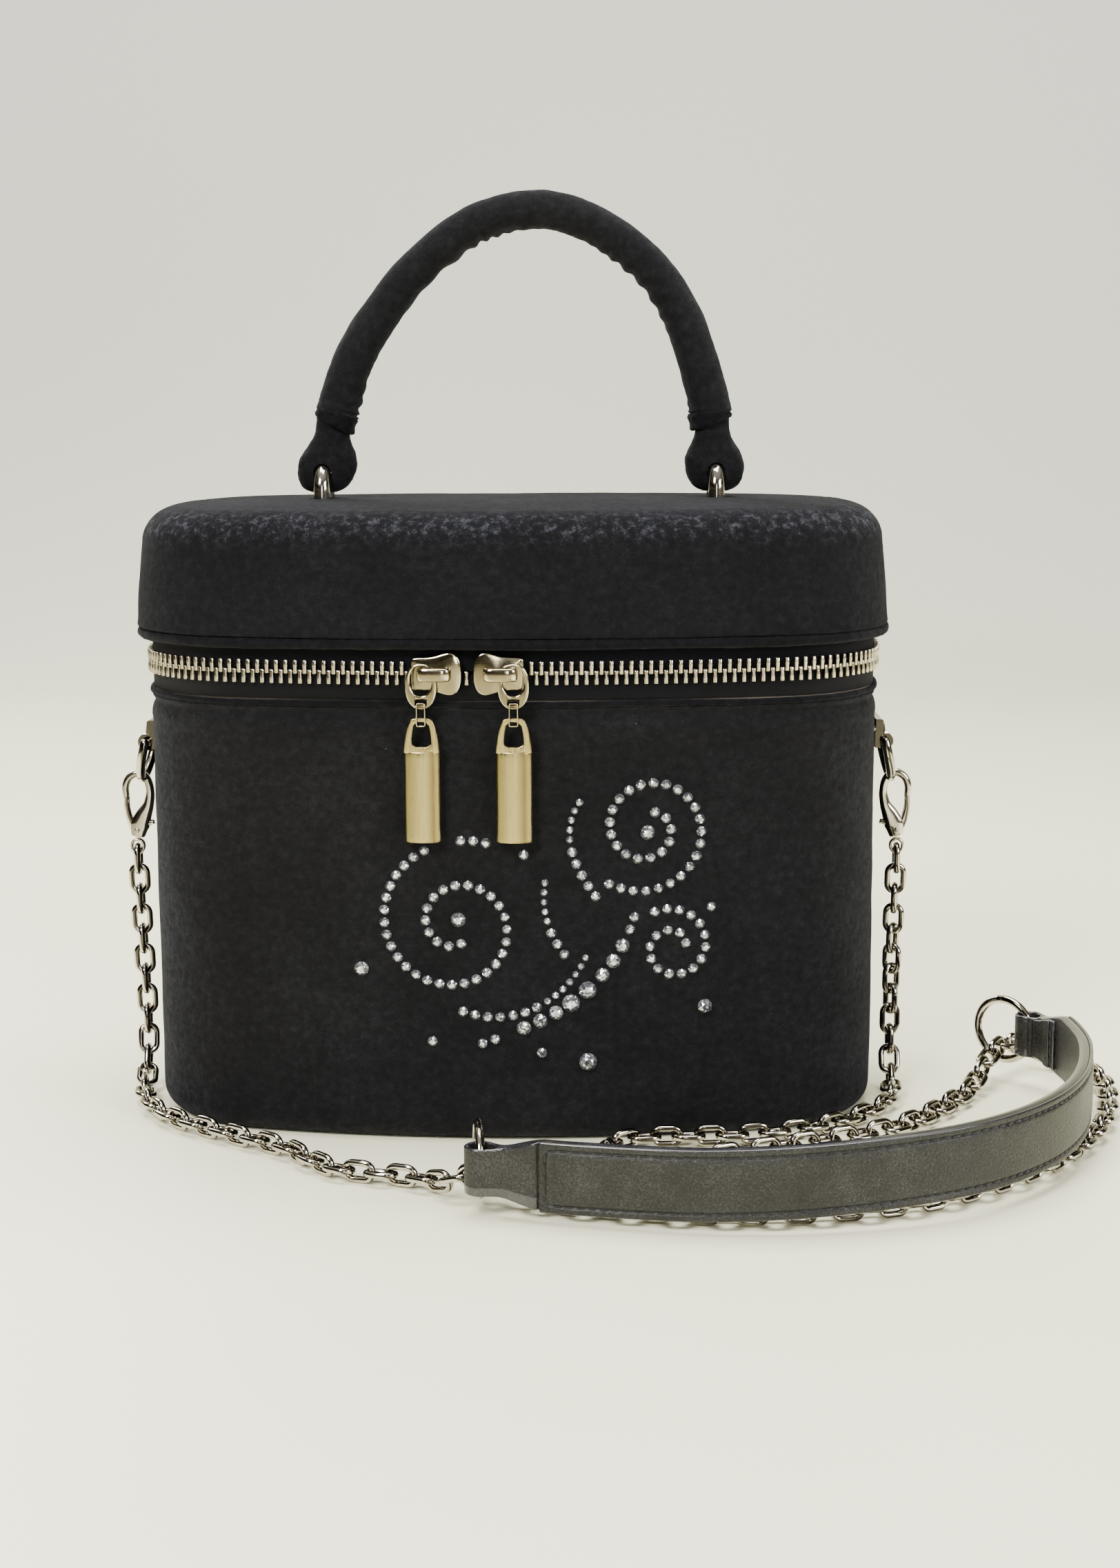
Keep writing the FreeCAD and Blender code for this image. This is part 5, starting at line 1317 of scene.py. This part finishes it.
def clasp_branch(solid, table, count, sides, mirror):
    """Cast branch swept along a smoothed centre line in the XZ plane."""
    table = np.array(table)
    knots = np.array([(x, 0, z) for x, z in table[:, :2]])
    curve = np.array(spline(knots, 8))
    lengths, stops = run_lengths(curve), run_lengths(knots)
    steps = np.linspace(0, 1, count)
    line = [np.array([np.interp(s * lengths[-1], lengths, curve[:, 0]), 0.0,
                      np.interp(s * lengths[-1], lengths, curve[:, 2])]) for s in steps]
    in_plane, across = [np.interp(steps, stops / stops[-1], table[:, i]) for i in (2, 3)]
    rows = []
    for i in range(count):
        ahead = line[min(i + 1, count - 1)] - line[max(i - 1, 0)]
        ahead /= np.linalg.norm(ahead)
        side = np.array([ahead[2], 0, -ahead[0]])
        row = []
        for cos, sin in turn(sides):
            x, y, z = line[i] + side * (signed_power(cos, 0.85) * in_plane[i])
            row.append((x * mirror, y + signed_power(sin, 0.85) * across[i], z))
        rows.append(row)
    solid.loft(rows)


def clasp(side, mirror):
    body = Solid()
    clasp_branch(body, CLASP_HOOK, 64, 18, mirror)
    rows = []
    for cos, sin in turn(40):  # swivel eye under the stem
        row = []
        for wire_cos, wire_sin in turn(14):
            radius = 1.72 + 0.42 * wire_cos
            row.append(((106.3 + radius * cos) * mirror, 1.08 * signed_power(wire_sin, 0.7),
                        69.0 + radius * sin * 1.12))
        rows.append(row)
    body.loft(rows, loop=True)
    for face in (-1, 1):  # pivot pin heads
        body.loft([[((106.2 + radius * cos) * mirror, face * (1.35 + height),
                     73.7 + radius * sin) for cos, sin in turn(16)]
                   for radius, height in PIN_HEAD])
    node = "clasp_frame_" + side
    finish(body.make("clasp_body_" + side, NICKEL_WIRE), BODY_OF[node], "nickel", node)
    lever = Solid()
    clasp_branch(lever, CLASP_GATE, 22, 14, mirror)
    clasp_branch(lever, CLASP_THUMB, 18, 14, mirror)
    node = "clasp_lever_" + side
    finish(lever.make("clasp_thumb_" + side, NICKEL), BODY_OF[node], "nickel", node)


clasp("right", 1)
clasp("left", -1)

# Frame pieces kept as they are, with softened edges
for name in ("d_ring_left", "d_ring_right", "side_keeper_left", "side_keeper_right",
             "keeper_screws", "keeper_nuts", "keeper_backing_plates", "staple_plates",
             "staple_nuts", "zip_end_stops"):
    obj = NODES[name]
    edge = obj.modifiers.new("edge", "BEVEL")
    edge.width = 0.12 * MM
    edge.segments = 2
    edge.limit_method = "ANGLE"
    edge.angle_limit = math.radians(40)
    smooth_shade(obj.data)
    obj.modifiers.new("wn", "WEIGHTED_NORMAL")

# ------------------------------------------------------------------ crystals
STONE_DIAMETERS = {"ss6": 2.0, "ss10": 2.75, "ss16": 3.9, "ss20": 4.75}
stone_random = random.Random(7)


def stone_faces():
    """Points: 0-15 back rim, 16-31 girdle, 32-39 kites, 40-47 table."""
    faces = [tuple(reversed(range(16)))] + grid_faces(2, 16, False, True)
    for i in range(8):
        first, middle, last = 16 + 2 * i, 17 + 2 * i, 16 + (2 * i + 2) % 16
        kite, before = 32 + i, 32 + (i - 1) % 8
        faces += [(first, middle, kite), (middle, last, kite), (first, kite, 40 + i, before),
                  (kite, 40 + (i + 1) % 8, 40 + i)]
    return faces + [tuple(range(40, 48))]


STONE_FACES = stone_faces()


def stone(solid, points, diameter):
    """Flat-backed brilliant, slightly turned and tilted at random."""
    radius, height = diameter / 2 * 0.99, diameter * 0.37
    mid = (points.min(0) + points.max(0)) / 2
    along, outward = front_axes(math.atan2(mid[0], FRONT_CY - mid[1]))
    base = mid + outward * ((points - mid) @ outward).min()
    spin = stone_random.uniform(0, math.pi / 4)
    tilt_x = stone_random.uniform(-0.045, 0.045)
    tilt_z = stone_random.uniform(-0.045, 0.045)
    verts = []
    # ring radius, height, number of points, shift in steps
    for ring, level, count, shift in ((radius, 0.0, 16, 0), (radius, 0.18 * height, 16, 0),
                                      (radius * 0.74, 0.68 * height, 8, 0.5),
                                      (radius * 0.46, height, 8, 0)):
        for k in range(count):
            angle = 2 * math.pi * (k + shift) / count + spin
            x, z = ring * math.cos(angle), ring * math.sin(angle)
            lean = (tilt_x * x + tilt_z * z) * min(1, level / (0.3 * height))
            verts.append(base + along * x + np.array([0, 0, z]) + outward * (level + lean))
    solid.add(verts, STONE_FACES)


for size, diameter in STONE_DIAMETERS.items():
    node = "crystals_" + size
    if node not in NODES:  # a frame may lack some sizes
        continue
    stones = Solid()
    for points in islands(node):
        stone(stones, points, diameter)
    finish(stones.make("stones_" + size, CRYSTAL, smooth=False), "bag", "crystal", node)

# ------------------------------------------------------------------ leather shoulder pad
# Along the pad, s is the distance from its left end; "out" is away from the bag.
pad_line = np.array(spline(PAD_PATH, 40))
pad_lengths = run_lengths(pad_line)
PAD_LENGTH = float(pad_lengths[-1])
FACING_START, FACING_END = 15.1, PAD_LENGTH - 15.1
FACING_MID = (FACING_START + FACING_END) / 2
FACING_HALF = 8.52
FACING_BACK, STRAP_BACK, STRAP_FRONT = 0.88, -1.9, 1.86
# Pressed border line of the facing, a rounded rectangle: corner radius, then the half
# length and half height of its straight runs
BORDER_R = 1.9
BORDER_S = (FACING_END - FACING_START) / 2 - 1.6 - BORDER_R
BORDER_Z = FACING_HALF - 1.75 - BORDER_R
LOOP_INNER, LOOP_OUTER, LOOP_DEGREES = 2.85, 3.9, 128   # leather turned round a ring's wire


def pad_point(s):
    return np.array([np.interp(s, pad_lengths, pad_line[:, i]) for i in range(3)])


def pad_frame(s):
    """Mid-height point, direction along and direction out."""
    s = max(0.0, min(PAD_LENGTH, s))
    along = pad_point(min(PAD_LENGTH, s + 1.2)) - pad_point(max(0, s - 1.2))
    along[2] = 0
    along /= np.linalg.norm(along)
    return pad_point(s) + np.array([0, 0, PAD_HALF]), along, np.array([along[1], -along[0], 0.0])


def pad_row(s, section):
    """Place a section of (out, z) points."""
    centre, _, outward = pad_frame(s)
    return [centre + outward * out + np.array([0, 0, z]) for out, z in section]


def from_end(s):
    return min(s, PAD_LENGTH - s)


def pad_half(s):
    return PAD_END_HALF + (PAD_HALF - PAD_END_HALF) * smooth_step((from_end(s) - 3.0) / 14.0)


def layer_section(inner, outer, half, crown, radius=0.32):
    """38 (out, z) points: inner face upwards, top edge, outer face downwards, bottom edge."""
    flat = half - radius
    reach = (outer - inner) / 2 - radius
    quarter = [math.pi / 2 * k / 4 for k in range(5)]
    points = [(inner, -flat + 2 * flat * k / 6) for k in range(7)]
    points += [(inner + radius - radius * math.cos(angle), flat + radius * math.sin(angle))
               for angle in quarter[1:]]
    for k in range(1, 5):
        x = -reach + 2 * reach * k / 5
        points.append(((inner + outer) / 2 + x,
                       half + crown * (1 - (x / max(reach, 0.1)) ** 2)))
    points += [(outer - radius + radius * math.sin(angle), flat + radius * math.cos(angle))
               for angle in quarter[:4]]
    return points + [(inner + outer - out, -z) for out, z in points]


# Material of each strip round a section: 0 leather, 1 edge paint
LAYER_PAINT = [0] * 6 + [1] * 13 + [0] * 5 + [1] * 14
FACING_PAINT = [1] * 5 + [0] * 34 + [1] * 6


class LeatherSolid(Solid):
    def __init__(self):
        super().__init__()
        self.paint = []

    def layer(self, rows, paint=LAYER_PAINT):
        self.loft(rows)
        self.paint += paint * (len(rows) - 1) + [1, 1]

    def strip(self, start, end, count, section):
        self.layer([pad_row(s, section(s)) for s in np.linspace(start, end, count)])

    def finish(self, name, node):
        obj = self.make(name, LEATHER)
        obj.data.materials.append(EDGE)
        obj.data.polygons.foreach_set("material_index", self.paint)
        finish(obj, "bag", "leather", node)


def strap_section(s):
    """The strap is thinner under the facing and opens a little towards the loops."""
    front = STRAP_FRONT - 0.95 * smooth_step((from_end(s) - 14.2) / 1.0)
    spread = smooth_step((4.3 - from_end(s)) / 3.3)
    stretch = (front - STRAP_BACK + 2 * spread) / (front - STRAP_BACK)
    return [(STRAP_BACK - spread + (out - STRAP_BACK) * stretch, z) for out, z
            in layer_section(STRAP_BACK, front, pad_half(s) - 0.25, crown=0.22, radius=0.5)]


def pad_loop(pad, end, sign):
    """Loop round a ring's wire and the two legs that run flat into the strap."""
    centre, along, outward = pad_frame(end)
    section = layer_section(LOOP_INNER, LOOP_OUTER, PAD_END_HALF - 0.25, crown=0.12)
    rows = []
    for k in range(45):
        angle = math.radians(-LOOP_DEGREES + 2 * LOOP_DEGREES * k / 44)
        spoke = along * sign * math.cos(angle) + outward * math.sin(angle)
        rows.append([centre + spoke * radius + np.array([0, 0, z]) for radius, z in section])
    pad.layer(rows)
    middle = (LOOP_INNER + LOOP_OUTER) / 2
    for face in (-1, 1):
        angle = math.radians(LOOP_DEGREES * face)
        leave, loop_out = abs(math.cos(angle)) * middle, math.sin(angle) * middle
        rows = []
        for reach in np.linspace(leave - 0.25, 6.4, 8):
            s = abs(end - reach)
            settle = smooth_step((reach - leave) / (6.2 - leave))
            out = loop_out + (1.3 * face - loop_out) * settle
            rows.append(pad_row(s, layer_section(out - 0.52, out + 0.52, pad_half(s) - 0.28,
                                                 crown=0.12)))
        pad.layer(rows)


def shoulder_pad():
    """Strap, ring loops, turned-back flaps on the inner side and their holding bands."""
    pad = LeatherSolid()
    steps = (14.4, 14.8, 15.2, 15.8)
    strap = [*np.linspace(4.2, 14.0, 12), *steps, *np.linspace(17, PAD_LENGTH - 17, 150),
             *(PAD_LENGTH - step for step in reversed(steps)),
             *np.linspace(PAD_LENGTH - 14.0, PAD_LENGTH - 4.2, 12)]
    pad.layer([pad_row(s, strap_section(s)) for s in strap])
    pad_loop(pad, 0.0, -1.0)
    pad_loop(pad, PAD_LENGTH, 1.0)
    for start, end in ((3.4, 13.5), (PAD_LENGTH - 13.5, PAD_LENGTH - 3.4)):
        pad.strip(start, end, 16, lambda s: layer_section(
            -2.85, -1.85, min(pad_half(s) - 0.7, 6.9), crown=0.05, radius=0.35))
    for mid in (10.4, PAD_LENGTH - 10.4):
        pad.strip(mid - 1.1, mid + 1.1, 6, lambda s: layer_section(
            -3.35, -2.8, min(pad_half(s) - 0.9, 6.7), crown=0.03, radius=0.22))
    pad.finish("leather_pad", "shoulder_pad")


def facing_out(s, z):
    """Outer surface of the facing: padded inside a pressed border line."""
    x, y = abs(s - FACING_MID) - BORDER_S, abs(z) - BORDER_Z
    beyond = math.hypot(max(x, 0), max(y, 0)) + min(max(x, y), 0) - BORDER_R
    groove = -0.44 * math.exp(-(beyond / 0.34) ** 2)
    puff = 0.20 * (1 - math.exp(-max(0.0, -beyond) / 1.4))
    return 1.82 + groove + puff + 0.06 * noise_at(s * 0.05, z * 0.09, 3.0)


def facing():
    border = [8.18, 7.9, 7.5, 7.15, 6.95, 6.8, 6.62, 6.45, 6.2, 5.6]
    heights = [-z for z in border] + list(np.linspace(-5.0, 5.0, 13)) + border[::-1]
    ends = (0.35, 0.7, 1.1, 1.35, 1.5, 1.7, 1.9, 2.2, 2.8)
    stops = [*(FACING_START + step for step in ends),
             *np.linspace(FACING_START + 4, FACING_END - 4, 190),
             *(FACING_END - step for step in reversed(ends))]
    rim = [(0.9, -8.2), (0.9, -8.45), (1.05, -8.62), (1.35, -8.68), (1.62, -8.6),
           (1.78, -8.42)]  # out, z of the lower edge
    upper_rim = [(out, -z) for out, z in reversed(rim)]
    panel = LeatherSolid()
    panel.layer([pad_row(s, rim + [(facing_out(s, z), z) for z in heights] + upper_rim)
                 for s in stops], FACING_PAINT)
    panel.finish("pad_facing_panel", "shoulder_pad_facing")


# One stitch: fraction along it, radius factor
STITCH = ((0.0, 0.25), (0.08, 0.7), (0.22, 1.0), (0.5, 1.08), (0.78, 1.0), (0.92, 0.7),
          (1.0, 0.25))


def stitch(solid, start, end, radius, outward):
    ahead = (end - start) / np.linalg.norm(end - start)
    side = np.cross(ahead, outward)
    rows = []
    for along, factor in STITCH:
        centre = start + (end - start) * along
        centre = centre + outward * (0.10 * math.sin(math.pi * along) - 0.04)
        rows.append([centre + (side * cos + outward * sin) * radius * factor
                     for cos, sin in turn(8)])
    solid.loft(rows)


def border_line():
    """(s, z) round the pressed line, from the lower left, one side and corner at a time."""
    path = []
    for i, (step_s, step_z) in enumerate(((1, 0), (0, 1), (-1, 0), (0, -1))):
        reach, across = (BORDER_S, BORDER_Z) if step_s else (BORDER_Z, BORDER_S)
        edge = across + BORDER_R
        for run in np.arange(-reach, reach, 0.5):
            path.append((FACING_MID + step_s * run + step_z * edge,
                         step_z * run - step_s * edge))
        for k in range(8):
            angle = math.pi / 2 * (i - 1 + k / 7)
            path.append((FACING_MID + step_s * reach + step_z * across
                         + BORDER_R * math.cos(angle),
                         step_z * reach - step_s * across + BORDER_R * math.sin(angle)))
    return np.array(path + [path[0]])


def pad_stitches(length=2.15, pitch=2.75):
    """Stitches along the pressed line and across the flaps."""
    stitches = Solid()
    path = border_line()
    lengths = run_lengths(path)

    def on_facing(run):
        s, z = np.interp(run, lengths, path[:, 0]), np.interp(run, lengths, path[:, 1])
        centre, _, outward = pad_frame(s)
        return centre + outward * (facing_out(s, z) + 0.14) + np.array([0, 0, z]), outward

    run = 0.0
    while run < lengths[-1] - 2.3:
        start, outward = on_facing(run)
        stitch(stitches, start, on_facing(run + length)[0], 0.30, outward)
        run += pitch
    for s in (12.4, PAD_LENGTH - 12.4):
        centre, _, outward = pad_frame(s)
        for z in np.arange(-5.6, 4.6, 2.6):
            start = centre - outward * 2.93 + np.array([0, 0, z])
            stitch(stitches, start, start + np.array([0, 0, 2.0]), 0.24, -outward)
    finish(stitches.make("pad_stitches", THREAD), "bag", "leather")


shoulder_pad()
facing()
pad_stitches()

# ------------------------------------------------------------------ stage
# Pale tone the camera sees on the far floor and beyond it, so that no horizon shows
PALE = {"Color": (0.75, 0.745, 0.655, 1), "Strength": 1.9}


def floor_material():
    mat = Material("studio_floor")
    cloud = mat.noise(mat.coord(), scale=3.0, detail=5.0)
    mat.surface({"Base Color": mat.ramp(cloud, [(0.3, (0.85, 0.84, 0.62)),
                                                (0.7, (0.90, 0.90, 0.69))]),
                 "Roughness": 0.42})
    place = mat.add("NewGeometry").outputs["Position"]
    distance = mat.add("VectorMath", {0: place}, operation="LENGTH").outputs["Value"]
    far = mat.remap(distance, source=(0.45, 1.9), interpolation_type="SMOOTHSTEP")
    camera_ray = mat.add("LightPath").outputs["Is Camera Ray"]
    glow = mat.add("Emission", PALE)
    mixed = mat.add("MixShader", {0: mat.math("MULTIPLY", far, camera_ray),
                                  1: mat.bsdf.outputs[0], 2: glow.outputs[0]})
    mat.feed(mat.output, {"Surface": mixed.outputs[0]})
    return mat.mat


def studio_floor():
    """Flat floor that sweeps up into a wall behind the bag."""
    profile = [(-3000, 0), (900, 0)]
    profile += [(900 + 500 * math.sin(angle), 500 - 500 * math.cos(angle))
                for angle in np.linspace(0.1, math.pi / 2, 14)]
    profile.append((1400, 4000))
    verts = [(x, y, z - 0.02) for y, z in profile for x in (-3500, 3500)]
    faces = [(2 * i, 2 * i + 1, 2 * i + 3, 2 * i + 2) for i in range(len(profile) - 1)]
    mesh_object("studio_floor", verts, faces, floor_material())


def area_light(name, place, size, power, color, height=None, aim=(0, 0, 0.1)):
    light = bpy.data.lights.new(name, "AREA")
    light.energy = power
    light.size = size
    light.color = color
    if height:
        light.shape = "RECTANGLE"
        light.size_y = height
    obj = bpy.data.objects.new(name, light)
    bpy.context.scene.collection.objects.link(obj)
    obj.location = place
    obj.rotation_mode = "QUATERNION"
    obj.rotation_quaternion = (Vector(aim) - Vector(place)).to_track_quat("-Z", "Y")


def make_world():
    """A banded room for light and reflections; the camera sees only the pale tone."""
    world = bpy.data.worlds.new("world")
    bpy.context.scene.world = world
    world.use_nodes = True
    graph = Graph(world.node_tree)
    output = graph.add("OutputWorld")
    room = graph.add("Background", {"Strength": 0.55})
    direction = graph.add("TexCoord").outputs["Generated"]
    height = graph.add("SeparateXYZ", {0: direction}).outputs["Z"]
    graph.feed(room, {"Color": graph.ramp(height, [
        (0.0, (0.16, 0.145, 0.12)), (0.10, (0.34, 0.31, 0.26)), (0.17, (0.045, 0.042, 0.04)),
        (0.30, (0.05, 0.047, 0.045)), (0.36, (0.62, 0.59, 0.52)), (0.48, (0.09, 0.085, 0.08)),
        (0.70, (0.55, 0.53, 0.49)), (1.0, (0.9, 0.88, 0.84))])})
    pale = graph.add("Background", PALE)
    mixed = graph.add("MixShader", {0: graph.add("LightPath").outputs["Is Camera Ray"],
                                    1: room.outputs[0], 2: pale.outputs[0]})
    graph.feed(output, {0: mixed.outputs[0]})


def make_camera(place, yaw, pitch, roll, lens):
    """Angles in radians: yaw to the left of +Y, pitch downwards; lens in mm."""
    level = Vector((math.cos(yaw), math.sin(yaw), 0))
    forward = Vector((-math.sin(yaw) * math.cos(pitch), math.cos(yaw) * math.cos(pitch),
                      -math.sin(pitch)))
    upward = Vector((-math.sin(yaw) * math.sin(pitch), math.cos(yaw) * math.sin(pitch),
                     math.cos(pitch)))
    right = level * math.cos(roll) + upward * math.sin(roll)
    top = -level * math.sin(roll) + upward * math.cos(roll)
    camera = bpy.data.cameras.new("camera")
    obj = bpy.data.objects.new("camera", camera)
    bpy.context.scene.collection.objects.link(obj)
    rows = [(right[i], top[i], -forward[i], place[i]) for i in range(3)]
    obj.matrix_world = Matrix((*rows, (0, 0, 0, 1)))
    camera.lens = lens
    camera.sensor_width = 36.0
    camera.clip_start = 0.01
    camera.clip_end = 50
    bpy.context.scene.camera = obj


studio_floor()
area_light("key", (-0.55, -0.95, 0.95), size=0.42, power=27.0, color=(1.0, 0.97, 0.91))
area_light("fill", (0.95, -0.65, 0.55), size=0.5, power=13.5, color=(1.0, 0.98, 0.94))
area_light("top", (0.05, 0.15, 1.15), size=0.8, power=27.0, color=(1.0, 0.98, 0.93))
area_light("rim", (-0.6, 0.8, 0.75), size=0.5, power=11.0, color=(0.97, 0.98, 1.0),
           aim=(0, 0, 0.15))
area_light("front_strip", (0.12, -1.3, 0.35), size=0.10, height=0.5, power=2.6,
           color=(1.0, 1.0, 1.0))
make_world()
make_camera((0.02543, -0.655, 0.19476), yaw=0.0199, pitch=0.1639, roll=-0.0046,
            lens=54.6205805)
